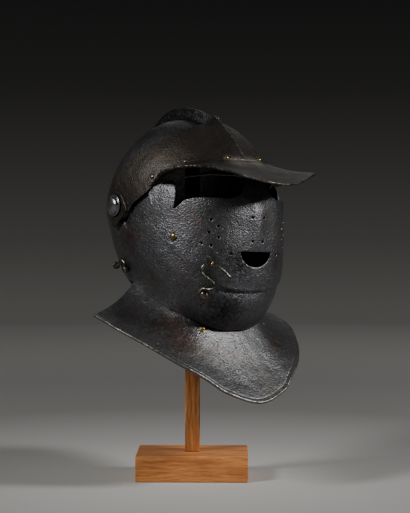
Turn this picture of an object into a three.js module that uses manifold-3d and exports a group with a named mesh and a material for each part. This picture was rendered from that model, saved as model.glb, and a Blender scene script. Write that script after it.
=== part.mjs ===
// A mask-visored close helmet of blackened steel on a plain wooden display stand.
// Millimetres, +Z up, the helmet faces -Y, and the origin is the middle of the stand's underside.
import * as THREE from "three";
import { mergeVertices } from "three/addons/utils/BufferGeometryUtils.js";
import Module from "manifold-3d";

const wasm = await Module();
wasm.setup();

// Stand
const BASE_WIDTH = 129;
const BASE_DEPTH = 85;
const BASE_HEIGHT = 30;
const POST_WIDTH = 17;
const POST_TOP = 95.2;
const STAND_TURN = THREE.MathUtils.degToRad(-39);
const SEAT = 0.3;

// Where the helmet sits on the stand
const PIVOT_HEIGHT = 313;
const PIVOT_BEHIND_POST = 25;
const HELMET_LEAN = THREE.MathUtils.degToRad(2);

// Plates: each layer lies outside the one before it
const WALL = 1.8;
const LAYER_STEP = 2.7;
const HALF_WIDTH = 85.3;
const SKULL = 0;
const BEVOR = 1;
const VISOR = 2;
const FALL = 3;
const LUG_RADIUS = 16;
const LUG_SINK = 1.1;
const LUG_WALL = 1.5;
const LUG_FACETS = 20;
const PLATE_LIMIT = 85;
const COLUMN_STEP = 11;
const FIRST_COLUMN = 8;
const ROW_STEP = 10;
const OUTLINE_ROWS = 8;
const OUTLINE_REACH = 11;

// The helmet's outer form: reach from the pivot axis, and squareness of the section, at each angle
// above straight ahead, seen from the side
const FORM = [
  { angle: -90, reach: 120, square: 2.2 },
  { angle: -70, reach: 144, square: 2.3 },
  { angle: -50, reach: 172, square: 2.5 },
  { angle: -40, reach: 168, square: 2.5 },
  { angle: -31, reach: 158, square: 2.5 },
  { angle: -20, reach: 147, square: 2.45 },
  { angle: -8, reach: 139.5, square: 2.4 },
  { angle: 8, reach: 136.5, square: 2.35 },
  { angle: 22, reach: 125, square: 2.3 },
  { angle: 32, reach: 116, square: 2.25 },
  { angle: 45, reach: 110, square: 2.2 },
  { angle: 60, reach: 107, square: 2.1 },
  { angle: 90, reach: 103, square: 2.0 },
  { angle: 120, reach: 92, square: 2.0 },
  { angle: 150, reach: 84, square: 2.05 },
  { angle: 180, reach: 81, square: 2.15 },
  { angle: 214, reach: 79, square: 2.2 },
  { angle: 240, reach: 94, square: 2.2 },
  { angle: 270, reach: 120, square: 2.2 },
];

// Plate edges: angle above straight ahead of the first and last edge, by latitude towards the pivot
const SKULL_EDGES = [
  { latitude: 0, first: 34, last: 248 },
  { latitude: 20, first: 34, last: 250 },
  { latitude: 35, first: 33, last: 256 },
  { latitude: 48, first: 31, last: 262 },
  { latitude: 60, first: 27, last: 263 },
  { latitude: 72, first: 5, last: 264 },
  { latitude: 83, first: -20, last: 268 },
];
const BEVOR_EDGES = [
  { latitude: 0, first: -51.6, last: -28 },
  { latitude: 14, first: -52, last: -28 },
  { latitude: 24, first: -52.4, last: -27.5 },
  { latitude: 31, first: -53.5, last: -27 },
  { latitude: 38, first: -56, last: -26 },
  { latitude: 43, first: -66, last: -25 },
  { latitude: 48, first: -90, last: -23 },
  { latitude: 53, first: -98, last: -18 },
  { latitude: 56, first: -99, last: -14 },
  { latitude: 62, first: -100, last: 2 },
  { latitude: 66, first: -100, last: 22 },
  { latitude: 72, first: -100, last: 30 },
  { latitude: 83, first: -100, last: 38 },
];
const VISOR_EDGES = [
  { latitude: 0, first: -33.3, last: 18.5 },
  { latitude: 24, first: -33, last: 18.5 },
  { latitude: 39, first: -31.8, last: 18.5 },
  { latitude: 50, first: -29.7, last: 18.5 },
  { latitude: 58, first: -25.9, last: 19 },
  { latitude: 62, first: -20.5, last: 20.5 },
  { latitude: 65.7, first: -14.8, last: 24 },
  { latitude: 68, first: 0, last: 28 },
  { latitude: 69.5, first: 19, last: 32 },
  { latitude: 75, first: 24, last: 42 },
  { latitude: 83, first: 30, last: 60 },
];
const FALL_EDGES = [
  { latitude: 0, first: 22, last: 60 },
  { latitude: 6, first: 22.3, last: 57.4 },
  { latitude: 17, first: 23, last: 55.5 },
  { latitude: 29, first: 24, last: 54.8 },
  { latitude: 44, first: 24, last: 58.8 },
  { latitude: 62, first: 21.5, last: 75 },
  { latitude: 68, first: 16.7, last: 87 },
  { latitude: 74, first: 12, last: 103 },
  { latitude: 80, first: 4.7, last: 130 },
  { latitude: 84, first: -17, last: 170 },
];

// The comb's crest above the skull, and the fall's ridge that covers its front
const COMB_CREST = [
  { angle: 38, reach: 108 },
  { angle: 48, reach: 116.5 },
  { angle: 56, reach: 118 },
  { angle: 100, reach: 118 },
  { angle: 114, reach: 114 },
  { angle: 128, reach: 108 },
  { angle: 150, reach: 99 },
  { angle: 180, reach: 91 },
  { angle: 205, reach: 84 },
  { angle: 222, reach: 80 },
];
const COMB_SINK = 2.7;
const COMB_LEAST = 1;
const COMB_HALF_CREST = 1.8;
const COMB_HALF_FOOT = 5;
const COMB_ROWS = 15;
const COMB_SECTION = [
  { rise: 0, flare: 1 },
  { rise: 0.35, flare: 0.375 },
  { rise: 0.8, flare: 0.125 },
  { rise: 1, flare: 0 },
];
const RIDGE_HEIGHT = [
  { angle: 22, height: 0.6 },
  { angle: 32, height: 3.2 },
  { angle: 45, height: 4.8 },
  { angle: 60, height: 7.2 },
];
const RIDGE_HALF_WIDTH = 9;

// The fall's peak: its rim, from the middle to the temple
const PEAK_RIM = [
  { across: 0, forward: 186, up: 25 },
  { across: 20, forward: 183, up: 27 },
  { across: 40, forward: 176, up: 31 },
  { across: 62, forward: 163, up: 38 },
  { across: 82, forward: 147, up: 42 },
  { across: 95, forward: 130, up: 41.5 },
  { across: 99, forward: 108, up: 38.5 },
  { across: 94, forward: 86, up: 34 },
  { across: 84, forward: 66, up: 27 },
];
const PEAK_LATITUDE = 66;
const PEAK_ROOT_ABOVE_EDGE = 1.2;
const PEAK_STEPS = 20;
const PEAK_ROWS = 3;
const PEAK_WALL = 1.8;
const PEAK_BEAD = 3;

// Openings in the visor
const EYE = [
  { across: 15, up: 35 },
  { across: 17, up: 20 },
  { across: 24, up: 13 },
  { across: 33, up: 9.5 },
  { across: 62, up: 9.5 },
  { across: 70, up: 7 },
  { across: 77, up: -5 },
  { across: 75, up: 12 },
  { across: 73, up: 30 },
  { across: 50, up: 35.5 },
];
const MOUTH_HALF_WIDTH = 21.5;
const MOUTH_TOP = -48;
const MOUTH_DEPTH = 18;
const FACE_CUT_REACH = 240;
const FACE_REACH = 147;
const FACE_SLOPE = 0.42;
const BREATH_RADIUS = 1.6;
const BREATH_AXIS = { across: 0.55, forward: 60, up: 0.9, overrun: 1.6 };
const BREATHS = [
  { across: 8, up: -10.5 },
  { across: 7, up: -36.5 },
  { across: 30, up: -50 },
  { across: 51, up: -14 },
  { across: 44, up: -21 },
  { across: 52, up: -28 },
  { across: 43, up: -33 },
  { across: 58, up: -40 },
  { across: 49, up: -42 },
];
const NOSE_HEIGHT = 5;
const NOSE_HALF_WIDTH = 11;
const NOSE_ANGLES = { from: -19, to: 6 };
const NOSE_SWELL = 1.6;

// Gorget plate: its neck follows the bevor's lower edge, and its rim is given for one half,
// from the front to the rear corner
const NECK = [
  { turn: 0, latitude: 0, below: 1.2 },
  { turn: 0.25, latitude: 14, below: 1.2 },
  { turn: 0.45, latitude: 26, below: 1.4 },
  { turn: 0.6, latitude: 34, below: 2.2 },
  { turn: 0.75, latitude: 40, below: 4 },
  { turn: 0.9, latitude: 44, below: 5 },
  { turn: 1, latitude: 46.5, below: 4 },
];
const GORGET_RIM = [
  { turn: 0, across: 0, forward: 157, up: -212.5 },
  { turn: 0.25, across: 40, forward: 149, up: -201.5 },
  { turn: 0.4, across: 62, forward: 137, up: -186 },
  { turn: 0.55, across: 86, forward: 119, up: -170.5 },
  { turn: 0.7, across: 107, forward: 92, up: -153 },
  { turn: 0.87, across: 126, forward: 50, up: -133.5 },
  { turn: 1, across: 128, forward: 18, up: -124 },
];
const GORGET_STEPS = 26;
const GORGET_ROWS = 5;
const GORGET_BEAD = 3.6;
const GORGET_BORDER = 0.97;
const GORGET_SAG = 8;
const GORGET_SAG_FADE = 0.4;
const COLLAR_ANGLE = 3.5;
const COLLAR_GAP = 2.2;

// Rivets, by their place on a plate
const SMALL_HEAD = 2.4;
const LARGE_HEAD = 4.2;
const HEAD_RISE = 0.6;
const RIVET_SHANK = 1.2;
const RIVET_SINK = 2.1;
const HOLE_RADIUS = 1.6;
const HOLE_REACH = 6;
const BROW_RIVET = { latitude: 12, angle: 25.5 };
const CUSP_RIVET = { latitude: 0, angle: 56.5 };
const CHEEK_RIVET = { latitude: 54.4, angle: -20.2 };
const TEMPLE_RIVET = { latitude: 61, angle: 29 };
const SIDE_RIVET = { latitude: 38, angle: 29 };
const GORGET_RIVET = { turn: 0.36, drop: 0.085 };
const GORGET_EMPTY_HOLES = [
  { turn: -0.88, drop: 0.14 },
  { turn: 0.6, drop: 0.22 },
];

// Pivots
const PIN_RADIUS = 2.7;
const PIN_HOLE_RADIUS = 3.1;
const PIN_NUT_RADIUS = 5;
const PIN_NUT_HEIGHT = 1.5;
const ROSETTE_RADIUS = 10;
const ROSETTE_RISE = 4.6;
const ROSETTE_RIM = 12.5;
const ROSETTE_RIM_WALL = 1.2;
const ARM_TIP = { forward: -1, up: -26, rootHalfWidth: 13.6, rootUp: -6.4 };

// Hooks
const WIRE_RADIUS = 1.1;
const WIRE_SIDES = 6;
const STUD_RADIUS = 4.2;
const STUD_NECK = 1.6;
const STUD_LIFT = 3;
const STUD_SINK = 2.3;
const STUD_RISE = 2.6;
const EYE_RADIUS = 3.6;
const EYE_WALL = 2;
const STAPLE_RADIUS = 3.4;
const STAPLE_HOLE = 2.5;
const STAPLE_CROWN = 1.4;
const STAPLE_REACH = 8;
const WIRE_START = 0.4;
const VISOR_HOOK_STUD = { latitude: -30.2, angle: -39.3 };
const VISOR_HOOK_STAPLE = { latitude: -28.6, angle: -26.4 };
const VISOR_HOOK_PATH = [
  { latitude: -33.8, angle: -40, lift: 3 },
  { latitude: -33.2, angle: -38.2, lift: 3 },
  { latitude: -30.9, angle: -36.8, lift: 4 },
  { latitude: -28.1, angle: -36.2, lift: 6 },
  { latitude: -25.6, angle: -35, lift: 7.5 },
  { latitude: -26.5, angle: -33.2, lift: 7.5 },
  { latitude: -30, angle: -32.3, lift: 7.5 },
  { latitude: -34, angle: -31, lift: 7.5 },
  { latitude: -33.8, angle: -28.6, lift: 7.3 },
  { latitude: -31.2, angle: -26.6, lift: 6.7 },
  { latitude: -28.6, angle: -26.4, lift: 6 },
  { latitude: -24.4, angle: -26.8, lift: 6.8 },
  { latitude: -20.7, angle: -27.7, lift: 7.9 },
  { latitude: -16.1, angle: -29.6, lift: 9.6 },
];
const VISOR_STAPLE_STEP = 10;
const NECK_HOOK_STUD = { latitude: -57, angle: 274 };
const NECK_HOOK_STAPLE = { latitude: -55, angle: 257 };
const NECK_HOOK_PATH = [
  { latitude: -61, angle: 277, lift: 3 },
  { latitude: -62.5, angle: 272, lift: 3 },
  { latitude: -61, angle: 267, lift: 3.2 },
  { latitude: -58, angle: 261.5, lift: 3.6 },
  { latitude: -55, angle: 257, lift: 3.4 },
  { latitude: -53.5, angle: 254, lift: 3.2 },
];
const NECK_STAPLE_STEP = 4;

const radians = THREE.MathUtils.degToRad;

// A smooth curve through one column of a table, read at a value of its key column
function read(table, key, column, at) {
  const last = table.length - 1;
  const want = THREE.MathUtils.clamp(at, table[0][key], table[last][key]);
  let i = table.findIndex((row) => row[key] >= want);
  i = Math.max(i, 1);
  const [a, b] = [table[i - 1], table[i]];
  const slope = (j) => {
    if (j <= 0 || j >= last) return 0;
    const before = (table[j][column] - table[j - 1][column]) / (table[j][key] - table[j - 1][key]);
    const after = (table[j + 1][column] - table[j][column]) / (table[j + 1][key] - table[j][key]);
    return before * after <= 0 ? 0 : (2 * before * after) / (before + after);
  };
  const span = b[key] - a[key];
  const t = (want - a[key]) / span;
  const [t2, t3] = [t * t, t * t * t];
  return (
    a[column] * (2 * t3 - 3 * t2 + 1) +
    b[column] * (3 * t2 - 2 * t3) +
    slope(i - 1) * span * (t3 - 2 * t2 + t) +
    slope(i) * span * (t3 - t2)
  );
}

// Points in the helmet's frame from across (to the wearer's left), forward and up
const at = (across, forward, up) => new THREE.Vector3(across, -forward, up);

// A point of the form by latitude towards the pivot and angle above straight ahead, both in degrees,
// moved out by a layer's offset and by any relief
function formPoint(layer, latitude, angle, depth = 0, relief = 0) {
  const turned = ((angle + 90 + 720) % 360) - 90;
  const square = read(FORM, "angle", "square", turned);
  const offset = LAYER_STEP * layer - depth;
  const s = Math.sin(radians(latitude));
  const across = (HALF_WIDTH + offset) * Math.sign(s) * Math.abs(s) ** (2 / square);
  const reach = read(FORM, "angle", "reach", turned) + offset;
  const out = reach * Math.cos(radians(latitude)) ** (2 / square) + relief;
  return at(across, out * Math.cos(radians(angle)), out * Math.sin(radians(angle)));
}

// The outward direction of the form at a place
function formNormal(layer, latitude, angle) {
  const step = 0.5;
  const p = formPoint(layer, latitude, angle);
  const along = formPoint(layer, latitude + step, angle).sub(p);
  const up = formPoint(layer, latitude, angle + step).sub(p);
  return along.cross(up).normalize();
}

// A closed sheet from an outer and an inner grid of points, each a list of rows
function sheet(outer, inner) {
  const rows = outer.length;
  const columns = outer[0].length;
  const points = [...outer.flat(), ...inner.flat()];
  const front = (i, j) => i * columns + j;
  const back = (i, j) => rows * columns + i * columns + j;
  const faces = [];
  const quad = (a, b, c, d) => faces.push(a, b, c, a, c, d);
  for (let i = 0; i < rows - 1; i++)
    for (let j = 0; j < columns - 1; j++) {
      quad(front(i, j), front(i, j + 1), front(i + 1, j + 1), front(i + 1, j));
      quad(back(i, j), back(i + 1, j), back(i + 1, j + 1), back(i, j + 1));
    }
  for (let j = 0; j < columns - 1; j++) {
    quad(front(0, j + 1), front(0, j), back(0, j), back(0, j + 1));
    quad(front(rows - 1, j), front(rows - 1, j + 1), back(rows - 1, j + 1), back(rows - 1, j));
  }
  for (let i = 0; i < rows - 1; i++) {
    quad(front(i, 0), front(i + 1, 0), back(i + 1, 0), back(i, 0));
    quad(front(i + 1, columns - 1), front(i, columns - 1), back(i, columns - 1), back(i + 1, columns - 1));
  }
  const geometry = new THREE.BufferGeometry().setFromPoints(points);
  geometry.setIndex(faces);
  return geometry;
}

// A three.js geometry as a solid, and back
function solid(geometry) {
  const bare = geometry.clone();
  bare.deleteAttribute("normal");
  bare.deleteAttribute("uv");
  const merged = mergeVertices(bare, 1e-4);
  return new wasm.Manifold(
    new wasm.Mesh({
      numProp: 3,
      vertProperties: new Float32Array(merged.attributes.position.array),
      triVerts: new Uint32Array(merged.index.array),
    }),
  );
}

function geometryOf(body) {
  const { numProp, vertProperties, triVerts } = body.getMesh();
  const geometry = new THREE.BufferGeometry();
  const positions = new Float32Array((vertProperties.length / numProp) * 3);
  for (let i = 0; i < positions.length / 3; i++)
    for (let k = 0; k < 3; k++) positions[3 * i + k] = vertProperties[numProp * i + k];
  geometry.setAttribute("position", new THREE.BufferAttribute(positions, 3));
  geometry.setIndex([...triVerts]);
  geometry.computeVertexNormals();
  return geometry;
}

const joined = (bodies) => bodies.reduce((sum, body) => sum.add(body));
const cut = (body, tools) => tools.reduce((left, tool) => left.subtract(tool), body);

// A geometry built along +Z, turned to point along a direction and moved to a point
function aimed(geometry, point, direction) {
  const turn = new THREE.Quaternion().setFromUnitVectors(new THREE.Vector3(0, 0, 1), direction);
  return geometry.applyQuaternion(turn).translate(point.x, point.y, point.z);
}

function rod(radius, from, to, sides = 12) {
  const direction = to.clone().sub(from);
  const cylinder = new THREE.CylinderGeometry(radius, radius, direction.length(), sides);
  cylinder.rotateX(Math.PI / 2);
  return aimed(cylinder, from.clone().add(to).multiplyScalar(0.5), direction.normalize());
}

// Latitudes of a plate's columns, with finer ones at the middle of a plate with relief
function latitudes(step, limit, fine) {
  const half = [...fine, FIRST_COLUMN];
  for (let a = FIRST_COLUMN + step; a < limit - step / 2; a += step) half.push(a);
  half.push(limit);
  return [...half.map((a) => -a).reverse(), 0, ...half];
}

// The closed sheet between two depths of a layer, over a grid of latitudes and angles
function band(layer, columns, anglesAt, depths, relief) {
  const grid = (depth) =>
    anglesAt.map((angleAt) =>
      columns.map((latitude) => {
        const angle = angleAt(latitude);
        return formPoint(layer, latitude, angle, depth, relief(latitude, angle));
      }),
    );
  return solid(sheet(grid(depths.outer), grid(depths.inner)));
}

// A curved plate of the helmet between two edges, with a lug for the pivot at each side.
// All plates share one grid of latitudes and angles, so that their facets lie parallel.
function plate(layer, edges, fine = [], relief = () => 0) {
  const lowest = Math.floor(Math.min(...edges.map((row) => row.first)) / ROW_STEP);
  const highest = Math.ceil(Math.max(...edges.map((row) => row.last)) / ROW_STEP);
  const rows = Array.from({ length: highest - lowest + 1 }, (_, i) => () => (lowest + i) * ROW_STEP);
  const columns = latitudes(COLUMN_STEP, PLATE_LIMIT, fine);
  const whole = band(layer, columns, rows, { outer: 0, inner: WALL }, relief);
  const outline = Array.from({ length: OUTLINE_ROWS + 1 }, (_, i) => (latitude) => {
    const first = read(edges, "latitude", "first", Math.abs(latitude));
    const last = read(edges, "latitude", "last", Math.abs(latitude));
    return first + ((last - first) * i) / OUTLINE_ROWS;
  });
  const trim = { outer: -OUTLINE_REACH, inner: OUTLINE_REACH };
  const sector = band(layer, latitudes(COLUMN_STEP, PLATE_LIMIT + 1, []), outline, trim, () => 0);
  const lugs = [-1, 1].map((side) => {
    const outer = side * (HALF_WIDTH + LAYER_STEP * layer - LUG_SINK);
    return solid(rod(LUG_RADIUS, at(outer, 0, 0), at(outer - side * LUG_WALL, 0, 0), LUG_FACETS));
  });
  return joined([whole.intersect(sector), ...lugs]);
}

function pinHole() {
  const reach = HALF_WIDTH + LAYER_STEP * (FALL + 2);
  return solid(rod(PIN_HOLE_RADIUS, at(-reach, 0, 0), at(reach, 0, 0), 16));
}

function rivetHole(layer, { latitude, angle }, radius = HOLE_RADIUS, relief = 0) {
  const point = formPoint(layer, latitude, angle, 0, relief);
  const normal = formNormal(layer, latitude, angle).multiplyScalar(HOLE_REACH);
  return solid(rod(radius, point.clone().sub(normal), point.clone().add(normal), 8));
}

// The points of a dome's profile from its edge to its top
function arc(radius, rise, from, steps) {
  return Array.from({ length: steps + 1 }, (_, i) => {
    const turn = (Math.PI / 2) * (i / steps);
    const out = i === steps ? 0 : radius * Math.cos(turn);
    return new THREE.Vector2(out, from + rise * Math.sin(turn));
  });
}

// A profile turned about an axis that starts at a point and runs along a direction
function turnedAlong(profile, facets, point, direction) {
  const geometry = new THREE.LatheGeometry(profile, facets);
  geometry.rotateX(Math.PI / 2);
  return aimed(geometry, point, direction);
}

// A rivet: a domed head just off the surface, on a shank that passes through its hole
function rivet(head, point, normal) {
  const profile = [
    new THREE.Vector2(0, -RIVET_SINK),
    new THREE.Vector2(RIVET_SHANK, -RIVET_SINK),
    new THREE.Vector2(RIVET_SHANK, SEAT),
    ...arc(head, HEAD_RISE * head, SEAT, 3),
  ];
  return turnedAlong(profile, 8, point, normal);
}

function plateRivet(layer, { latitude, angle }, head, relief = 0) {
  const point = formPoint(layer, latitude, angle, 0, relief);
  return rivet(head, point, formNormal(layer, latitude, angle));
}

function gorgetRivet({ turn, drop }) {
  const normal = gorgetNormal(turn, drop);
  return rivet(SMALL_HEAD, gorgetPoint(turn, drop).addScaledVector(normal, WALL / 2), normal);
}

const mirroredTurn = ({ turn, drop }) => ({ turn: -turn, drop });
const mirrored = (place, side) => ({ ...place, latitude: side * place.latitude });
const sides = [
  { side: -1, name: "right" },
  { side: 1, name: "left" },
];

// Materials
const blackSteel = new THREE.MeshStandardMaterial({ color: 0x25262a, roughness: 0.5, metalness: 0.75 });
const brownSteel = new THREE.MeshStandardMaterial({ color: 0x35302d, roughness: 0.55, metalness: 0.7 });
const brass = new THREE.MeshStandardMaterial({ color: 0x8a6a3c, roughness: 0.45, metalness: 0.85 });
const wornSteel = new THREE.MeshStandardMaterial({ color: 0x5a5650, roughness: 0.4, metalness: 0.85 });
const oak = new THREE.MeshStandardMaterial({ color: 0xa8622f, roughness: 0.65, metalness: 0 });

const group = new THREE.Group();
const helmet = new THREE.Group();
helmet.position.set(0, PIVOT_BEHIND_POST, PIVOT_HEIGHT);
helmet.rotation.y = HELMET_LEAN;
group.add(helmet);

function add(parent, name, geometry, material) {
  const mesh = new THREE.Mesh(geometry, material.clone());
  mesh.name = name;
  parent.add(mesh);
  return mesh;
}

// Skull with its comb
function comb() {
  const first = COMB_CREST[0].angle;
  const last = COMB_CREST[COMB_CREST.length - 1].angle;
  const side = (sign) =>
    Array.from({ length: COMB_ROWS + 1 }, (_, i) => {
      const angle = first + ((last - first) * i) / COMB_ROWS;
      const foot = read(FORM, "angle", "reach", angle) - COMB_SINK;
      const crest = Math.max(read(COMB_CREST, "angle", "reach", angle), foot + COMB_LEAST);
      return COMB_SECTION.map(({ rise, flare }) => {
        const out = foot + (crest - foot) * rise;
        const across = sign * (COMB_HALF_CREST + (COMB_HALF_FOOT - COMB_HALF_CREST) * flare);
        return at(across, out * Math.cos(radians(angle)), out * Math.sin(radians(angle)));
      });
    });
  return solid(sheet(side(-1), side(1)));
}

const skull = joined([plate(SKULL, SKULL_EDGES), comb()]);

// Fall: the brow plate with its peak
function ridge(latitude, angle) {
  const across = Math.abs(formPoint(FALL, latitude, angle).x) / RIDGE_HALF_WIDTH;
  return read(RIDGE_HEIGHT, "angle", "height", angle) * Math.exp(-across * across);
}

function peak() {
  const last = PEAK_RIM.length - 1;
  const rim = PEAK_RIM.map((row, i) => ({ ...row, step: i / last }));
  const surface = (side) =>
    Array.from({ length: PEAK_ROWS + 1 }, (_, i) =>
      Array.from({ length: PEAK_STEPS + 1 }, (_, j) => {
        const t = (2 * j) / PEAK_STEPS - 1;
        const latitude = PEAK_LATITUDE * t;
        const angle = read(FALL_EDGES, "latitude", "first", Math.abs(latitude)) + PEAK_ROOT_ABOVE_EDGE;
        const root = formPoint(FALL, latitude, angle, WALL / 2);
        const edge = at(
          Math.sign(t) * read(rim, "step", "across", Math.abs(t)),
          read(rim, "step", "forward", Math.abs(t)),
          read(rim, "step", "up", Math.abs(t)),
        );
        const w = i / PEAK_ROWS;
        const thickness = i === PEAK_ROWS ? PEAK_BEAD : PEAK_WALL;
        const point = root.lerp(edge, w);
        point.z += (side * thickness) / 2;
        return point;
      }),
    );
  return solid(sheet(surface(1).reverse(), surface(-1).reverse()));
}

const cuspRise = ridge(CUSP_RIVET.latitude, CUSP_RIVET.angle);
const fallHoles = [
  rivetHole(FALL, CUSP_RIVET, HOLE_RADIUS, cuspRise),
  ...sides.flatMap(({ side }) =>
    [BROW_RIVET, TEMPLE_RIVET, SIDE_RIVET].map((place) => rivetHole(FALL, mirrored(place, side))),
  ),
];
const fall = cut(joined([plate(FALL, FALL_EDGES, [1.5, 4], ridge), peak()]), fallHoles);

// Visor
function nose(latitude, angle) {
  const across = Math.abs(formPoint(VISOR, latitude, angle).x) / NOSE_HALF_WIDTH;
  const t = (angle - NOSE_ANGLES.from) / (NOSE_ANGLES.to - NOSE_ANGLES.from);
  const swell = Math.sin((Math.PI / 2) * Math.min(1, NOSE_SWELL * t));
  const along = t < 0 || t > 1 ? 0 : swell * Math.sqrt(1 - t);
  return NOSE_HEIGHT * along * Math.exp(-across * across);
}

function forwardCutter(points) {
  const shape = new THREE.Shape(points.map(({ across, up }) => new THREE.Vector2(across, up)));
  const cutter = new THREE.ExtrudeGeometry(shape, { depth: FACE_CUT_REACH, bevelEnabled: false });
  cutter.rotateX(Math.PI / 2);
  return cutter;
}

function eye(side) {
  const points = EYE.map(({ across, up }) => ({ across: side * across, up }));
  return solid(forwardCutter(side > 0 ? points : points.reverse()));
}

function mouth() {
  const steps = 12;
  const points = Array.from({ length: steps + 1 }, (_, i) => {
    const turn = Math.PI * (1 + i / steps);
    return { across: MOUTH_HALF_WIDTH * Math.cos(turn), up: MOUTH_TOP + MOUTH_DEPTH * Math.sin(turn) };
  });
  return solid(forwardCutter(points));
}

function breath({ across, up }, side) {
  const near = at(side * across * BREATH_AXIS.across, BREATH_AXIS.forward, up * BREATH_AXIS.up);
  const face = at(side * across, Math.sqrt(FACE_REACH ** 2 - up ** 2) - across * FACE_SLOPE, up);
  const far = near.clone().lerp(face, BREATH_AXIS.overrun);
  return solid(rod(BREATH_RADIUS, near, far, 6));
}

const visor = cut(plate(VISOR, VISOR_EDGES, [3], nose), [
  mouth(),
  ...sides.map(({ side }) => eye(side)),
  ...sides.flatMap(({ side }) => BREATHS.map((place) => breath(place, side))),
  ...sides.map(({ side }) => rivetHole(VISOR, mirrored(CHEEK_RIVET, side))),
  rivetHole(VISOR, VISOR_HOOK_STAPLE, STAPLE_RADIUS + SEAT),
]);

// Bevor
const bevor = cut(plate(BEVOR, BEVOR_EDGES), [
  rivetHole(BEVOR, VISOR_HOOK_STUD, STUD_NECK + SEAT),
  rivetHole(BEVOR, NECK_HOOK_STUD, STUD_NECK + SEAT),
]);

// Gorget: a flared plate under the bevor's lower edge, with a collar inside that edge
function gorgetPoint(turn, drop) {
  const along = Math.abs(turn);
  const latitude = Math.sign(turn) * read(NECK, "turn", "latitude", along);
  const depth = WALL + COLLAR_GAP + WALL / 2;
  const edge = read(BEVOR_EDGES, "latitude", "first", Math.abs(latitude));
  const above = drop < 0 ? COLLAR_ANGLE : -read(NECK, "turn", "below", along);
  const neck = formPoint(BEVOR, latitude, edge + above, depth);
  if (drop <= 0) return neck;
  const rim = at(
    Math.sign(turn) * read(GORGET_RIM, "turn", "across", along),
    read(GORGET_RIM, "turn", "forward", along),
    read(GORGET_RIM, "turn", "up", along),
  );
  const point = neck.lerp(rim, drop);
  point.z -= GORGET_SAG * Math.sin(Math.PI * drop) * (1 - GORGET_SAG_FADE * drop);
  return point;
}

function gorgetNormal(turn, drop) {
  const step = 0.02;
  const low = Math.max(drop, 0.001);
  const here = gorgetPoint(turn, low);
  const sideways = gorgetPoint(turn + step, low).sub(gorgetPoint(turn - step, low));
  const down = gorgetPoint(turn, low + step).sub(here);
  return down.cross(sideways).normalize();
}

function gorgetSheet() {
  const border = Array.from({ length: GORGET_ROWS }, (_, i) => GORGET_BORDER * (1 - i / GORGET_ROWS));
  const drops = [1, ...border, 0, -1];
  const turns = Array.from({ length: GORGET_STEPS + 1 }, (_, j) => (2 * j) / GORGET_STEPS - 1);
  const surface = (side) =>
    drops.map((drop) =>
      turns.map((turn) => {
        const wall = drop === 1 ? GORGET_BEAD : WALL;
        const normal = gorgetNormal(turn, Math.max(drop, 0));
        return gorgetPoint(turn, drop).addScaledVector(normal, (side * wall) / 2);
      }),
    );
  return solid(sheet(surface(1), surface(-1)));
}

function gorgetHole({ turn, drop }) {
  const point = gorgetPoint(turn, drop);
  const normal = gorgetNormal(turn, drop).multiplyScalar(HOLE_REACH);
  return solid(rod(HOLE_RADIUS, point.clone().sub(normal), point.clone().add(normal), 8));
}

// Pivots: a domed rosette on a pin that runs through the arms, with a nut inside the skull
function pivot(side) {
  const seat = HALF_WIDTH + LAYER_STEP * FALL + SEAT;
  const inside = HALF_WIDTH - LUG_SINK - LUG_WALL - SEAT - seat;
  const profile = [
    new THREE.Vector2(0, inside - PIN_NUT_HEIGHT),
    new THREE.Vector2(PIN_NUT_RADIUS, inside - PIN_NUT_HEIGHT),
    new THREE.Vector2(PIN_NUT_RADIUS, inside),
    new THREE.Vector2(PIN_RADIUS, inside),
    new THREE.Vector2(PIN_RADIUS, 0),
    new THREE.Vector2(ROSETTE_RIM, 0),
    new THREE.Vector2(ROSETTE_RIM, ROSETTE_RIM_WALL),
    ...arc(ROSETTE_RADIUS, ROSETTE_RISE, ROSETTE_RIM_WALL, 4),
  ];
  return turnedAlong(profile, 16, at(side * seat, 0, 0), new THREE.Vector3(side, 0, 0));
}

// The end of the fall's arm, drawn to a point below the pivot
function armTip(side) {
  const shape = new THREE.Shape([
    new THREE.Vector2(-ARM_TIP.rootHalfWidth, ARM_TIP.rootUp),
    new THREE.Vector2(ARM_TIP.forward, ARM_TIP.up),
    new THREE.Vector2(ARM_TIP.rootHalfWidth, ARM_TIP.rootUp),
    new THREE.Vector2(0, 0),
  ]);
  const tip = new THREE.ExtrudeGeometry(shape, { depth: LUG_WALL, bevelEnabled: false });
  tip.rotateX(Math.PI / 2);
  tip.rotateZ(-Math.PI / 2);
  const outer = HALF_WIDTH + LAYER_STEP * FALL - LUG_SINK;
  tip.translate(side > 0 ? outer : LUG_WALL - outer, 0, 0);
  return solid(tip);
}

// Hooks: a bent wire that turns on a stud and passes through a pierced staple
function outPoint({ latitude, angle, lift }) {
  const normal = formNormal(BEVOR, latitude, angle);
  return formPoint(BEVOR, latitude, angle).addScaledVector(normal, lift);
}

function stud(place) {
  const head = STUD_LIFT + EYE_WALL / 2 + SEAT;
  const profile = [
    new THREE.Vector2(0, -STUD_SINK),
    new THREE.Vector2(STUD_NECK, -STUD_SINK),
    new THREE.Vector2(STUD_NECK, head),
    ...arc(STUD_RADIUS, STUD_RISE, head, 4),
  ];
  const foot = formPoint(BEVOR, place.latitude, place.angle);
  return turnedAlong(profile, 12, foot, formNormal(BEVOR, place.latitude, place.angle));
}

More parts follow.
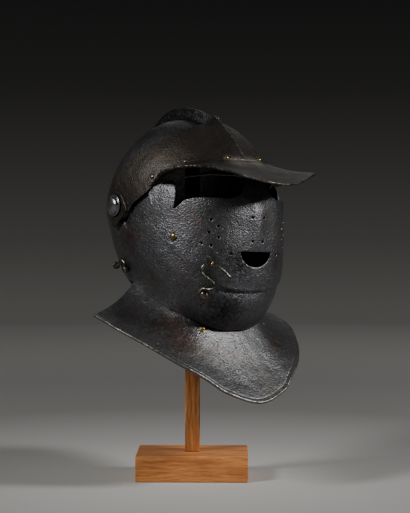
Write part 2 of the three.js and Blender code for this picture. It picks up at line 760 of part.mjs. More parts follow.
function hook(place, path) {
  const normal = formNormal(BEVOR, place.latitude, place.angle);
  const middle = formPoint(BEVOR, place.latitude, place.angle).addScaledVector(normal, STUD_LIFT);
  const half = normal.clone().multiplyScalar(EYE_WALL / 2);
  const through = (radius, length) => {
    const from = middle.clone().addScaledVector(half, -length);
    return solid(rod(radius, from, middle.clone().addScaledVector(half, length), 12));
  };
  const start = middle.clone().lerp(outPoint(path[0]), WIRE_START);
  const curve = new THREE.CatmullRomCurve3([start, ...path.map(outPoint)], false, "centripetal");
  const section = new THREE.Shape(
    Array.from({ length: WIRE_SIDES }, (_, i) => {
      const turn = (2 * Math.PI * i) / WIRE_SIDES;
      return new THREE.Vector2(WIRE_RADIUS * Math.cos(turn), WIRE_RADIUS * Math.sin(turn));
    }),
  );
  const sweep = { steps: 2 * path.length, extrudePath: curve, bevelEnabled: false };
  const wire = new THREE.ExtrudeGeometry(section, sweep);
  return through(EYE_RADIUS, 1).add(solid(wire)).subtract(through(STUD_NECK + SEAT, 3));
}

function staple(layer, place, path, index) {
  const here = outPoint(path[index]);
  const along = outPoint(path[index + 1]).sub(outPoint(path[index - 1])).setLength(STAPLE_REACH);
  const foot = formPoint(layer, place.latitude, place.angle);
  const normal = formNormal(layer, place.latitude, place.angle);
  const rise = here.clone().sub(foot).dot(normal) + STAPLE_HOLE + STAPLE_CROWN;
  const root = foot.clone().addScaledVector(normal, -WALL - SEAT);
  const body = rod(STAPLE_RADIUS, root, foot.clone().addScaledVector(normal, rise), 10);
  const hole = rod(STAPLE_HOLE, here.clone().sub(along), here.clone().add(along), 8);
  return solid(body).subtract(solid(hole));
}

// Assembly
const pins = pinHole();
const neckStapleHole = rivetHole(SKULL, NECK_HOOK_STAPLE, STAPLE_RADIUS + SEAT);
const gorgetHoles = [...GORGET_EMPTY_HOLES, mirroredTurn(GORGET_RIVET)].map(gorgetHole);
add(helmet, "skull", geometryOf(cut(skull, [pins, neckStapleHole])), blackSteel);
add(helmet, "bevor", geometryOf(bevor.subtract(pins)), blackSteel);
add(helmet, "visor", geometryOf(visor.subtract(pins)), blackSteel);
add(helmet, "fall", geometryOf(joined([fall, armTip(-1), armTip(1)]).subtract(pins)), brownSteel);
add(helmet, "gorget", geometryOf(cut(gorgetSheet(), gorgetHoles)), brownSteel);

for (const { side, name } of sides) {
  const brow = plateRivet(FALL, mirrored(BROW_RIVET, side), SMALL_HEAD);
  const temple = plateRivet(FALL, mirrored(TEMPLE_RIVET, side), SMALL_HEAD);
  const flank = plateRivet(FALL, mirrored(SIDE_RIVET, side), SMALL_HEAD);
  const cheek = plateRivet(VISOR, mirrored(CHEEK_RIVET, side), LARGE_HEAD);
  add(helmet, "pivot_" + name, pivot(side), blackSteel);
  add(helmet, "brow_rivet_" + name, brow, brass);
  add(helmet, "temple_rivet_" + name, temple, wornSteel);
  add(helmet, "side_rivet_" + name, flank, wornSteel);
  add(helmet, "cheek_rivet_" + name, cheek, brass);
}
add(helmet, "cusp_rivet", plateRivet(FALL, CUSP_RIVET, SMALL_HEAD, cuspRise), wornSteel);
add(helmet, "gorget_rivet", gorgetRivet(mirroredTurn(GORGET_RIVET)), brass);

const visorHook = hook(VISOR_HOOK_STUD, VISOR_HOOK_PATH);
const visorStaple = staple(VISOR, VISOR_HOOK_STAPLE, VISOR_HOOK_PATH, VISOR_STAPLE_STEP);
add(helmet, "visor_hook_stud", stud(VISOR_HOOK_STUD), wornSteel);
add(helmet, "visor_hook", geometryOf(visorHook), wornSteel);
add(helmet, "visor_staple", geometryOf(visorStaple), brass);

const neckHook = hook(NECK_HOOK_STUD, NECK_HOOK_PATH);
const neckStaple = staple(SKULL, NECK_HOOK_STAPLE, NECK_HOOK_PATH, NECK_STAPLE_STEP);
add(helmet, "neck_hook_stud", stud(NECK_HOOK_STUD), wornSteel);
add(helmet, "neck_hook", geometryOf(neckHook), wornSteel);
add(helmet, "neck_staple", geometryOf(neckStaple), brass);

// Stand
const stand = new THREE.Group();
stand.rotation.z = STAND_TURN;
group.add(stand);
const base = new THREE.BoxGeometry(BASE_WIDTH, BASE_DEPTH, BASE_HEIGHT);
add(stand, "stand_base", base, oak).position.z = BASE_HEIGHT / 2;
const postHeight = PIVOT_HEIGHT + POST_TOP - BASE_HEIGHT - SEAT;
const post = new THREE.BoxGeometry(POST_WIDTH, POST_WIDTH, postHeight);
add(stand, "stand_post", post, oak).position.z = BASE_HEIGHT + SEAT + postHeight / 2;

export default group;
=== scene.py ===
import math
import bpy
import numpy as np
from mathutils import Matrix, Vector


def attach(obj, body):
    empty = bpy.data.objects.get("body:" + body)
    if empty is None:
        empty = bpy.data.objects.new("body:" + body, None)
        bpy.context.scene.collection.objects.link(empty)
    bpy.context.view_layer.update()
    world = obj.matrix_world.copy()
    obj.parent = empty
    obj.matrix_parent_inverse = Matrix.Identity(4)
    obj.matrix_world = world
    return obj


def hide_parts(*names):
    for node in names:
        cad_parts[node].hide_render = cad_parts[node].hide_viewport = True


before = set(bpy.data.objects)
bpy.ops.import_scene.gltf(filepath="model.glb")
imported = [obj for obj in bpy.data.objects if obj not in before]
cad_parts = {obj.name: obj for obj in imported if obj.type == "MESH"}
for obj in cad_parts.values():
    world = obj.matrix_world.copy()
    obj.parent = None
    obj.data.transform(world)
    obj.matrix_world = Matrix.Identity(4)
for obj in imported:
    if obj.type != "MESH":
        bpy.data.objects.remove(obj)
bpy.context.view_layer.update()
print("frame loaded with", len(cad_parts), "nodes")


def linearColour(hexText):  # sRGB hex to a linear colour
    c = np.array([int(hexText[i:i + 2], 16) for i in (1, 3, 5)]) / 255
    c = np.where(c <= 0.04045, c / 12.92, ((c + 0.055) / 1.055) ** 2.4)
    return (*c.tolist(), 1.0)


def addNode(tree, kind, settings=None, links=None):
    # one node: settings are its properties or socket values, links are (input name, output socket)
    node = tree.nodes.new(kind)
    for name, value in (settings or {}).items():
        if isinstance(name, str) and hasattr(node, name):
            setattr(node, name, value)
        else:
            node.inputs[name].default_value = value
    for name, socket in (links or {}).items():
        tree.links.new(socket, node.inputs[name])
    return node


def smoothRead(keys, values, at):
    # cubic Hermite curve through the table, with harmonic-mean slopes and level ends
    keys = np.asarray(keys, float)
    values = np.asarray(values, float)
    at = np.clip(np.asarray(at, float), keys[0], keys[-1])
    i = np.clip(np.searchsorted(keys, at, side="left"), 1, len(keys) - 1)
    chord = np.diff(values) / np.diff(keys)
    before, after = chord[:-1], chord[1:]
    slope = np.zeros_like(values)
    total = np.where(before + after == 0, 1, before + after)
    slope[1:-1] = np.where(before * after > 0, 2 * before * after / total, 0)
    span = keys[i] - keys[i - 1]
    t = (at - keys[i - 1]) / span
    return (
        values[i - 1] * (2 * t**3 - 3 * t**2 + 1)
        + values[i] * (3 * t**2 - 2 * t**3)
        + slope[i - 1] * span * (t**3 - 2 * t**2 + t)
        + slope[i] * span * (t**3 - t**2)
    )


def mirroredRead(keys, values, at, sign):
    # the curve carried on through zero: sign -1 for a distance across, +1 for one alike on both sides
    keys, values = np.asarray(keys, float), np.asarray(values, float)
    whole = np.concatenate([sign * values[:0:-1], values])
    return smoothRead(np.concatenate([-keys[:0:-1], keys]), whole, at)


def smoothStep(low, high, value):
    t = np.clip((value - low) / (high - low), 0, 1)
    return t * t * (3 - 2 * t)


helmet = {
    "pivotHeight": 313,  # mm, above the stand's underside
    "pivotBehind": 25,
    "leanDegrees": 2,
    "halfWidth": 85.3,
    "layerStep": 2.7,  # each plate lies this much outside the one below it
    "wall": 1.8,
    "lugSink": 1.1,
    "lugRadius": 16,
    "seat": 0.3,
}
layers = {"skull": 0, "bevor": 1, "visor": 2, "fall": 3}

formTable = np.array([  # angle above straight ahead, reach from the pivots, squareness
    (-90, 120, 2.2), (-70, 144, 2.3), (-50, 172, 2.5), (-40, 168, 2.5), (-31, 158, 2.5),
    (-20, 147, 2.45), (-8, 139.5, 2.4), (8, 136.5, 2.35), (22, 125, 2.3), (32, 116, 2.25),
    (45, 110, 2.2), (60, 107, 2.1), (90, 103, 2.0), (120, 92, 2.0), (150, 84, 2.05),
    (180, 81, 2.15), (214, 79, 2.2), (240, 94, 2.2), (270, 120, 2.2),
])


def formPoint(latitude, angle, offset=0.0, relief=0.0):
    # across = (halfWidth + offset) * |sin latitude|^(2/squareness)
    # out = (reach(angle) + offset) * cos latitude^(2/squareness) + relief
    latitude, angle = np.broadcast_arrays(np.asarray(latitude, float), np.asarray(angle, float))
    turned = ((angle + 90 + 720) % 360) - 90
    power = 2 / smoothRead(formTable[:, 0], formTable[:, 2], turned)
    s = np.sin(np.radians(latitude))
    c = np.maximum(np.cos(np.radians(latitude)), 0)
    across = (helmet["halfWidth"] + offset) * np.sign(s) * np.abs(s) ** power
    out = (smoothRead(formTable[:, 0], formTable[:, 1], turned) + offset) * c**power + relief
    a = np.radians(angle)
    return np.stack([across, -out * np.cos(a), out * np.sin(a)], -1)


def formNormal(latitude, angle, offset=0.0, relief=None):
    # cross product of the steps along latitude and along angle
    step = 0.25
    raised = relief or (lambda lat, ang: 0.0)
    place = lambda lat, ang: formPoint(lat, ang, offset, raised(lat, ang))
    along = place(latitude + step, angle) - place(latitude - step, angle)
    up = place(latitude, angle + step) - place(latitude, angle - step)
    n = np.cross(along, up)
    return n / np.linalg.norm(n, axis=-1, keepdims=True)


def toRow(points):
    # helmet millimetres to the row frame in metres: lean to the wearer's left, then up to the pivots
    a = math.radians(helmet["leanDegrees"])
    x, y, z = points[..., 0], points[..., 1], points[..., 2]
    turned = np.stack([x * math.cos(a) + z * math.sin(a), y, z * math.cos(a) - x * math.sin(a)], -1)
    return (turned + np.array([0, helmet["pivotBehind"], helmet["pivotHeight"]])) / 1000


def gridFaces(rows, columns, closedRows=False, closedColumns=False):
    # quads of a grid of points, rows by columns, wound so that (column, row) steps face outwards
    i = np.arange(rows if closedRows else rows - 1)[:, None]
    j = np.arange(columns if closedColumns else columns - 1)[None, :]
    i2, j2 = (i + 1) % rows, (j + 1) % columns
    return np.stack([i * columns + j, i * columns + j2, i2 * columns + j2, i2 * columns + j], -1).reshape(-1, 4)


def makePiece(name, shapes):
    # shapes: list of (points in metres, list of face arrays, wear and painted highlight from 0 to 1 at each point or
    # None)
    starts = np.cumsum([0] + [len(shape[0]) for shape in shapes])
    points = np.concatenate([shape[0] for shape in shapes])
    wear = np.concatenate([np.zeros(len(p)) if w is None else w for p, _, w in shapes])
    faces = [f + start for (_, kinds, _), start in zip(shapes, starts) for f in kinds if len(f)]
    corners = np.concatenate([f.ravel() for f in faces]).astype(np.int32)
    sizes = np.concatenate([np.full(len(f), f.shape[1]) for f in faces]).astype(np.int32)
    mesh = bpy.data.meshes.new(name)
    mesh.vertices.add(len(points))
    mesh.vertices.foreach_set("co", points.astype(np.float32).ravel())
    mesh.loops.add(len(corners))
    mesh.loops.foreach_set("vertex_index", corners)
    mesh.polygons.add(len(sizes))
    mesh.polygons.foreach_set("loop_start", np.concatenate([[0], np.cumsum(sizes)[:-1]]).astype(np.int32))
    mesh.polygons.foreach_set("use_smooth", np.ones(len(sizes), bool))
    mesh.attributes.new("edge", "FLOAT", "POINT").data.foreach_set("value", wear.astype(np.float32))
    mesh.update(calc_edges=True)
    mesh.validate()
    piece = bpy.data.objects.new(name, mesh)
    bpy.context.scene.collection.objects.link(piece)
    return piece


def place(piece, body, slot, material, *nodes):
    piece.data.materials.clear()
    piece.data.materials.append(material)
    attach(piece, body)
    if nodes:
        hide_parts(*nodes)
    return piece


def closedSheet(outer, inner, faces, bulge=0.45, rimSteps=3):
    # outer and inner skins that share one set of faces, joined along every free edge by a rounded rim:
    # rim point = outer + t * (inner - outer) + sideways * bulge * sin(pi * t)
    count = len(outer)
    a, b = faces, np.roll(faces, -1, axis=1)
    tails, heads = a.ravel(), b.ravel()
    used = np.isin(tails.astype(np.int64) * count + heads, heads.astype(np.int64) * count + tails)
    tails, heads = tails[~used], heads[~used]
    rim = np.unique(np.concatenate([tails, heads]))
    number = np.full(count, -1)
    number[rim] = np.arange(len(rim))
    edge = outer[heads] - outer[tails]
    sideways = np.cross(edge, outer[tails] - inner[tails])
    sideways /= np.maximum(np.linalg.norm(sideways, axis=1, keepdims=True), 1e-9)
    push = np.zeros((len(rim), 3))
    np.add.at(push, number[tails], sideways)
    np.add.at(push, number[heads], sideways)
    push /= np.maximum(np.linalg.norm(push, axis=1, keepdims=True), 1e-9)
    rings, ringStart = [outer, inner], 2 * count
    for k in range(1, rimSteps + 1):
        t = k / (rimSteps + 1)
        rings.append(outer[rim] + t * (inner[rim] - outer[rim]) + push * bulge * math.sin(math.pi * t))
    points = np.concatenate(rings)
    ladder = [rim, *[ringStart + k * len(rim) + np.arange(len(rim)) for k in range(rimSteps)], rim + count]
    quads = [
        np.stack([heads_, tails_, nextTails, nextHeads], -1)
        for (tails_, heads_), (nextTails, nextHeads) in [
            ((ladder[k][number[tails]], ladder[k][number[heads]]),
             (ladder[k + 1][number[tails]], ladder[k + 1][number[heads]]))
            for k in range(rimSteps + 1)
        ]
    ]
    return points, [faces, faces[:, ::-1] + count, *quads], rim


def signedVolume(points, faces):
    p = points - points.mean(0)
    total = 0.0
    for f in faces:
        for k in range(1, f.shape[1] - 1):
            a, b, c = p[f[:, 0]], p[f[:, k]], p[f[:, k + 1]]
            total += np.einsum("ij,ij->i", a, np.cross(b, c)).sum()
    return total


def outward(points, faces):
    # the same closed skin with its faces pointing out
    return (points, faces if signedVolume(points, faces) > 0 else [f[:, ::-1] for f in faces])


def carried(loops):
    # closed sections carried along a path: loops is stations by points by 3, with a fan over each end
    stations, around = loops.shape[:2]
    points = np.concatenate([loops.reshape(-1, 3), loops[[0, -1]].mean(1)])
    side = gridFaces(stations, around, closedColumns=True)
    ring = np.arange(around)
    ahead = (ring + 1) % around
    end = (stations - 1) * around
    first = np.stack([ahead, ring, np.full(around, stations * around)], -1)
    last = np.stack([end + ring, end + ahead, np.full(around, stations * around + 1)], -1)
    return outward(points, [side, first, last])


def turned(profile, foot, axis, segments):
    # profile of (radius, height) from axis to axis, turned about the axis through foot
    profile = np.asarray(profile, float)
    axis = np.asarray(axis, float) / np.linalg.norm(axis)
    side = np.cross(axis, [0.0, 0.0, 1.0] if abs(axis[2]) < 0.9 else [1.0, 0.0, 0.0])
    side /= np.linalg.norm(side)
    other = np.cross(axis, side)
    a = np.linspace(0, 2 * np.pi, segments, endpoint=False)
    ring = np.cos(a)[:, None] * side + np.sin(a)[:, None] * other
    middle = profile[1:-1]
    loops = foot + middle[:, 0, None, None] * ring + middle[:, 1, None, None] * axis
    points = np.concatenate([loops.reshape(-1, 3), foot + profile[[0, -1], 1][:, None] * axis])
    skin = gridFaces(len(middle), segments, closedColumns=True)
    j = np.arange(segments)
    ahead = (j + 1) % segments
    last = (len(middle) - 1) * segments
    top = len(middle) * segments
    return outward(points, [skin, np.stack([ahead, j, np.full(segments, top)], -1),
                            np.stack([last + j, last + ahead, np.full(segments, top + 1)], -1)])


def nearness(points, rim, reach):
    # exp(-distance to the nearest rim point / reach), worked out in blocks
    out = np.empty(len(points))
    thin = rim[:: max(1, len(rim) // 1500)]
    for k in range(0, len(points), 4000):
        block = points[k:k + 4000]
        d2 = ((block[:, None, :] - thin[None, :, :]) ** 2).sum(-1)
        out[k:k + 4000] = np.sqrt(d2.min(1))
    return np.exp(-out / reach)


steelLook = {
    "blackened": {  # close, dark skin with a faint blue-grey cast
        "dark": "#3a3a3d", "light": "#75767b", "brown": "#4f443b", "brownShare": 0.5,
        "roughLow": 0.34, "roughHigh": 0.5, "grain": 2.1, "grainDepth": 0.34,
    },
    "browned": {  # the same skin gone brown-grey with age
        "dark": "#2b2927", "light": "#514c47", "brown": "#3d332b", "brownShare": 0.45,
        "roughLow": 0.4, "roughHigh": 0.58, "grain": 2.2, "grainDepth": 0.28,
    },
    "rubbed": {  # paler and smoother, where the neck plate has been cleaned
        "dark": "#3e3d3d", "light": "#7f7f80", "brown": "#4c4239", "brownShare": 0.5,
        "roughLow": 0.36, "roughHigh": 0.52, "grain": 1.9, "grainDepth": 0.26,
    },
    "handled": {  # the round bosses, smoother and shinier than the plates
        "dark": "#68686c", "light": "#a4a6ab", "brown": "#6d6157", "brownShare": 0.35,
        "roughLow": 0.22, "roughHigh": 0.36, "grain": 1.7, "grainDepth": 0.12,
    },
    "bare": "#a39e94",  # where handling has worn an edge through; also the colour of the painted highlights on the fall's crest and root and the neck plate's bends
    "rust": "#7a4326",
}


def millimetres(size):  # a noise or cell scale, in cycles per metre, for features of this size
    return 1000.0 / size


def forgedSteel(name, look, spots=()):
    # Wrought steel plate, hammered to shape and blackened from the forge: the eye sees a dark, slightly
    # glossy skin, wrinkled like leather, with small pits, brown patches and bright worn edges, plus painted
    # highlights and painted shade where marked.
    material = bpy.data.materials.new(name)
    material.use_nodes = True
    tree = material.node_tree
    tree.nodes.clear()
    place = addNode(tree, "ShaderNodeTexCoord").outputs["Object"]
    edge = addNode(tree, "ShaderNodeAttribute", {"attribute_name": "edge"}).outputs["Fac"]
    wrinkle = addNode(tree, "ShaderNodeTexNoise", {
        "Scale": millimetres(look["grain"]), "Detail": 3.0, "Roughness": 0.55, "Distortion": 0.9}, {
            "Vector": place})
    pebble = addNode(tree, "ShaderNodeTexVoronoi", {
        "feature": "SMOOTH_F1", "Scale": millimetres(look["grain"] * 0.8), "Smoothness": 0.6}, {"Vector": place})
    dents = addNode(tree, "ShaderNodeTexNoise", {"Scale": millimetres(16), "Detail": 1.5}, {"Vector": place})
    patches = addNode(tree, "ShaderNodeTexNoise", {
        "Scale": millimetres(42), "Detail": 7.0, "Roughness": 0.62}, {"Vector": place})
    specks = addNode(tree, "ShaderNodeTexNoise", {"Scale": millimetres(3.5), "Detail": 4.0}, {"Vector": place})
    pits = addNode(tree, "ShaderNodeTexVoronoi", {"Scale": millimetres(4.5)}, {"Vector": place})
    pitMask = addNode(tree, "ShaderNodeMapRange", {
        "From Min": 0.1, "From Max": 0.24, "To Min": 1.0, "To Max": 0.0}, {"Value": pits.outputs["Distance"]})

    skin = addNode(tree, "ShaderNodeMix", {"data_type": "RGBA"}, {0: specks.outputs["Fac"]})
    skin.inputs[6].default_value = linearColour(look["dark"])
    skin.inputs[7].default_value = linearColour(look["light"])
    patchShare = addNode(tree, "ShaderNodeMapRange", {
        "From Min": 0.42, "From Max": 0.66, "To Max": look["brownShare"]}, {"Value": patches.outputs["Fac"]})
    aged = addNode(tree, "ShaderNodeMix", {"data_type": "RGBA"}, {0: patchShare.outputs[0], 6: skin.outputs[2]})
    aged.inputs[7].default_value = linearColour(look["brown"])
    colour = aged.outputs[2]
    for centre, radius, tone, strength in spots:  # local stains, painted shade and painted highlights, each at its own place on the plate
        offset = addNode(tree, "ShaderNodeVectorMath", {"operation": "DISTANCE"}, {0: place})
        offset.inputs[1].default_value = centre
        ragged = addNode(tree, "ShaderNodeMath", {"operation": "MULTIPLY_ADD", 1: radius * 1.3}, {
            0: specks.outputs["Fac"], 2: offset.outputs["Value"]})
        near = addNode(tree, "ShaderNodeMapRange", {
            "From Min": radius * 0.7, "From Max": radius * 1.5, "To Min": strength, "To Max": 0.0}, {
            "Value": ragged.outputs[0]})
        stainAndPaintedLight = addNode(tree, "ShaderNodeMix", {"data_type": "RGBA"}, {0: near.outputs[0], 6: colour})
        stainAndPaintedLight.inputs[7].default_value = linearColour(tone)
        colour = stainAndPaintedLight.outputs[2]
    # wear and painted highlight: bare metal where the edge attribute is high, along worn rims and along painted
    # highlight lines
    wearAndHighlight = addNode(tree, "ShaderNodeMapRange", {"From Min": 0.35, "From Max": 0.95}, {
        "Value": addNode(tree, "ShaderNodeMath", {"operation": "MULTIPLY"}, {
            0: edge, 1: addNode(tree, "ShaderNodeMapRange", {"From Min": 0.3, "From Max": 0.6, "To Min": 0.35}, {
                "Value": specks.outputs["Fac"]}).outputs[0]}).outputs[0]})
    bare = addNode(tree, "ShaderNodeMix", {"data_type": "RGBA"}, {0: wearAndHighlight.outputs[0], 6: colour})
    bare.inputs[7].default_value = linearColour(steelLook["bare"])
    darkPits = addNode(tree, "ShaderNodeMix", {"data_type": "RGBA", "blend_type": "MULTIPLY"}, {
        0: pitMask.outputs[0], 6: bare.outputs[2]})
    darkPits.inputs[7].default_value = (0.35, 0.33, 0.3, 1.0)

    rough = addNode(tree, "ShaderNodeMapRange", {
        "From Min": 0.3, "From Max": 0.7, "To Min": look["roughLow"], "To Max": look["roughHigh"]}, {
        "Value": patches.outputs["Fac"]})
    roughWorn = addNode(tree, "ShaderNodeMix", {"data_type": "FLOAT", 3: 0.3}, {
        0: wearAndHighlight.outputs[0], 2: rough.outputs[0]})

    height = addNode(tree, "ShaderNodeMath", {"operation": "ADD"}, {
        0: wrinkle.outputs["Fac"], 1: pebble.outputs["Distance"]})
    fine = addNode(tree, "ShaderNodeBump", {"Distance": look["grainDepth"] / 1000, "Strength": 1.0}, {
        "Height": height.outputs[0]})
    pitted = addNode(tree, "ShaderNodeBump", {"Distance": 0.3 / 1000, "Strength": 0.8, "invert": True}, {
        "Height": pitMask.outputs[0], "Normal": fine.outputs[0]})
    dented = addNode(tree, "ShaderNodeBump", {"Distance": 1.4 / 1000, "Strength": 0.7}, {
        "Height": dents.outputs["Fac"], "Normal": pitted.outputs[0]})
    shader = addNode(tree, "ShaderNodeBsdfPrincipled", {"Metallic": 0.95}, {
        "Base Color": darkPits.outputs[2], "Roughness": roughWorn.outputs[0], "Normal": dented.outputs[0]})
    addNode(tree, "ShaderNodeOutputMaterial", {}, {"Surface": shader.outputs[0]})
    return material


def agedMetal(name, dark, light, roughness, grain):
    # Hand-filed brass or iron: a dull, uneven metal with tarnish in its hollows and fine file marks.
    material = bpy.data.materials.new(name)
    material.use_nodes = True
    tree = material.node_tree
    tree.nodes.clear()
    place = addNode(tree, "ShaderNodeTexCoord").outputs["Object"]
    tarnish = addNode(tree, "ShaderNodeTexNoise", {"Scale": millimetres(grain), "Detail": 5.0}, {"Vector": place})
    mask = addNode(tree, "ShaderNodeMapRange", {"From Min": 0.4, "From Max": 0.62}, {
        "Value": tarnish.outputs["Fac"]})
    colour = addNode(tree, "ShaderNodeMix", {"data_type": "RGBA"}, {0: mask.outputs[0]})
    colour.inputs[6].default_value = linearColour(dark)
    colour.inputs[7].default_value = linearColour(light)
    rough = addNode(tree, "ShaderNodeMapRange", {
        "From Min": 0.3, "From Max": 0.7, "To Min": roughness + 0.12, "To Max": roughness - 0.06}, {
        "Value": tarnish.outputs["Fac"]})
    filed = addNode(tree, "ShaderNodeTexNoise", {"Scale": millimetres(0.8), "Detail": 2.0}, {"Vector": place})
    bump = addNode(tree, "ShaderNodeBump", {"Distance": 0.12 / 1000, "Strength": 0.6}, {
        "Height": filed.outputs["Fac"]})
    shader = addNode(tree, "ShaderNodeBsdfPrincipled", {"Metallic": 1.0}, {
        "Base Color": colour.outputs[2], "Roughness": rough.outputs[0], "Normal": bump.outputs[0]})
    addNode(tree, "ShaderNodeOutputMaterial", {}, {"Surface": shader.outputs[0]})
    return material


woodLook = {
    "block": ("#d18c4c", "#a05c2c", "#7d4822"),  # pale wood, dark growth line, pore
    "post": ("#d08c4a", "#8a4f24", "#6b3a1b"),
    "insideShade": ("#0d0b09", 0.285, 0.32, 0.94),  # painted shade where the post stands inside the helmet: tone, from and to height, strength
    "ringWidth": 3.2,  # mm between growth lines
    "poreLength": 14,
    "poreWidth": 0.7,
}


def sawnWood(name, along, turn, tones, insideShade=None):
    # Plain hardwood, sawn, sanded and waxed: warm orange-brown with darker growth lines and short
    # pores that run along the piece, and a soft satin sheen.
    material = bpy.data.materials.new(name)
    material.use_nodes = True
    tree = material.node_tree
    tree.nodes.clear()
    place = addNode(tree, "ShaderNodeTexCoord").outputs["Object"]
    lined = addNode(tree, "ShaderNodeMapping", {"Rotation": turn}, {"Vector": place})
    stretch = [1.0, 1.0, 1.0]
    stretch[along] = 0.09
    grown = addNode(tree, "ShaderNodeMapping", {"Scale": stretch}, {"Vector": lined.outputs[0]})
    wander = addNode(tree, "ShaderNodeTexNoise", {"Scale": millimetres(30), "Detail": 3.0}, {
        "Vector": grown.outputs[0]})
    rings = addNode(tree, "ShaderNodeTexNoise", {
        "Scale": millimetres(woodLook["ringWidth"]), "Detail": 4.0, "Roughness": 0.6, "Distortion": 0.4}, {
        "Vector": grown.outputs[0]})
    poreStretch = [1.0, 1.0, 1.0]
    poreStretch[along] = woodLook["poreWidth"] / woodLook["poreLength"]
    poreSpace = addNode(tree, "ShaderNodeMapping", {"Scale": poreStretch}, {"Vector": lined.outputs[0]})
    pores = addNode(tree, "ShaderNodeTexNoise", {
        "Scale": millimetres(woodLook["poreWidth"]), "Detail": 1.0}, {"Vector": poreSpace.outputs[0]})
    poreMask = addNode(tree, "ShaderNodeMapRange", {
        "From Min": 0.56, "From Max": 0.68, "To Max": 0.55}, {"Value": pores.outputs["Fac"]})
    tone = addNode(tree, "ShaderNodeMapRange", {"From Min": 0.35, "From Max": 0.65}, {
        "Value": rings.outputs["Fac"]})
    ground = addNode(tree, "ShaderNodeMix", {"data_type": "RGBA"}, {0: tone.outputs[0]})
    ground.inputs[6].default_value = linearColour(tones[1])
    ground.inputs[7].default_value = linearColour(tones[0])
    broad = addNode(tree, "ShaderNodeMapRange", {
        "From Min": 0.35, "From Max": 0.7, "To Max": 0.45}, {"Value": wander.outputs["Fac"]})
    shaded = addNode(tree, "ShaderNodeMix", {"data_type": "RGBA"}, {0: broad.outputs[0], 6: ground.outputs[2]})
    shaded.inputs[7].default_value = linearColour(tones[1])
    open_ = addNode(tree, "ShaderNodeMix", {"data_type": "RGBA"}, {0: poreMask.outputs[0], 6: shaded.outputs[2]})
    open_.inputs[7].default_value = linearColour(tones[2])
    colour = open_.outputs[2]
    if insideShade:  # painted shade: the upper end, inside the helmet, is darkened nearly to black
        tone, bottom, top, strength = insideShade
        level = addNode(tree, "ShaderNodeSeparateXYZ", {}, {0: place})
        rise = addNode(tree, "ShaderNodeMapRange", {"From Min": bottom, "From Max": top, "To Max": strength}, {
            "Value": level.outputs["Z"]})
        shadedInside = addNode(tree, "ShaderNodeMix", {"data_type": "RGBA"}, {0: rise.outputs[0], 6: colour})
        shadedInside.inputs[7].default_value = linearColour(tone)
        colour = shadedInside.outputs[2]
    bump = addNode(tree, "ShaderNodeBump", {"Distance": 0.12 / 1000, "Strength": 0.6, "invert": True}, {
        "Height": poreMask.outputs[0]})
    shader = addNode(tree, "ShaderNodeBsdfPrincipled", {"Roughness": 0.52, "Specular IOR Level": 0.4}, {
        "Base Color": colour, "Normal": bump.outputs[0]})
    addNode(tree, "ShaderNodeOutputMaterial", {}, {"Surface": shader.outputs[0]})
    return material


# Stains, painted shade and painted highlights: place in metres, radius, tone, strength
combSpots = [  # the comb darkened to brown-black: partly its aged colour, partly painted shade over its lit top
    ((0.003, forward, up), 0.075, "#242120", 0.75) for forward, up in (
        (-0.03, 0.424), (0.01, 0.428), (0.05, 0.424), (0.085, 0.405))]
skullSteel = forgedSteel("blackened_wrought_steel_skull", steelLook["blackened"], combSpots)
maskSpots = [  # rust at the cheek and the mouth's end, verdigris by the staple, dark low on the mask (partly brown, partly painted shade)
    ((-0.0603, -0.0936, 0.2979), 0.0038, steelLook["rust"], 0.75),
    ((-0.0643, -0.0899, 0.2844), 0.003, steelLook["rust"], 0.6),
    ((0.0113, -0.1136, 0.2234), 0.005, "#8a5a36", 0.7),
    ((-0.0504, -0.1044, 0.2585), 0.009, "#3c4030", 0.6),
    # painted shade, partly brown colour: dark low on the mask's right, over a patch that catches light
    ((-0.0248, -0.1158, 0.2548), 0.028, "#1a1817", 0.85),
    # a fainter dark patch low on the mask's left
    ((0.0302, -0.1158, 0.2548), 0.022, "#2a2725", 0.5),
]
maskSteel = forgedSteel("blackened_wrought_steel_mask", steelLook["blackened"], maskSpots)
bevorSpots = [  # brown stain low behind the ear, rust at the mask's edge, painted shade under the chin
    ((-0.0879, 0.0042, 0.28), 0.026, "#46362c", 0.7),
    ((0.0113, -0.1136, 0.2204), 0.005, "#8a5a36", 0.6),
    # painted shade under the chin, below the mask's lower edge
    ((-0.0319, -0.0986, 0.1998), 0.034, "#1b1917", 0.85),
]
bevorSteel = forgedSteel("blackened_wrought_steel_bevor", steelLook["blackened"], bevorSpots)
peakSpots = [  # painted shade over the peak's top, darker than the brow
    ((side * across, forward, up), 0.05, "#262421", 0.7) for side in (-1, 1) for across, forward, up in (
        (0.028, -0.147, 0.346), (0.062, -0.127, 0.352), (0.084, -0.094, 0.349))]
peakSpots += [  # painted highlight, pale at the middle of its root
    ((-0.0134, -0.0989, 0.3629), 0.02, "#9a9388", 0.8), ((0.012, -0.0989, 0.3619), 0.018, "#9a9388", 0.7)]
peakSteel = forgedSteel("browned_wrought_steel_peak", steelLook["browned"], peakSpots)
bossSteel = forgedSteel("turned_handled_steel", steelLook["handled"])
neckSpots = [  # brown bloom on the neck plate's sides
    ((-0.0723, -0.0713, 0.1683), 0.03, "#54372a", 0.6),
    ((-0.0708, -0.0536, 0.1846), 0.022, "#5a3a2b", 0.6),
    ((-0.0809, -0.0466, 0.1836), 0.03, "#43382f", 0.6),
    ((0.0567, -0.0814, 0.1554), 0.024, "#4d3a2e", 0.5), ((0.0958, -0.0102, 0.1866), 0.03, "#54372a", 0.5),
]
rubbedSteel = forgedSteel("rubbed_wrought_steel", steelLook["rubbed"], neckSpots)
filedIron = agedMetal("filed_iron", "#322e29", "#807a6f", 0.36, 3.0)
agedBrass = agedMetal("aged_brass", "#4e432a", "#b5a26c", 0.3, 2.5)
dirtyBrass = agedMetal("blackened_brass", "#26221a", "#5d543d", 0.42, 2.5)
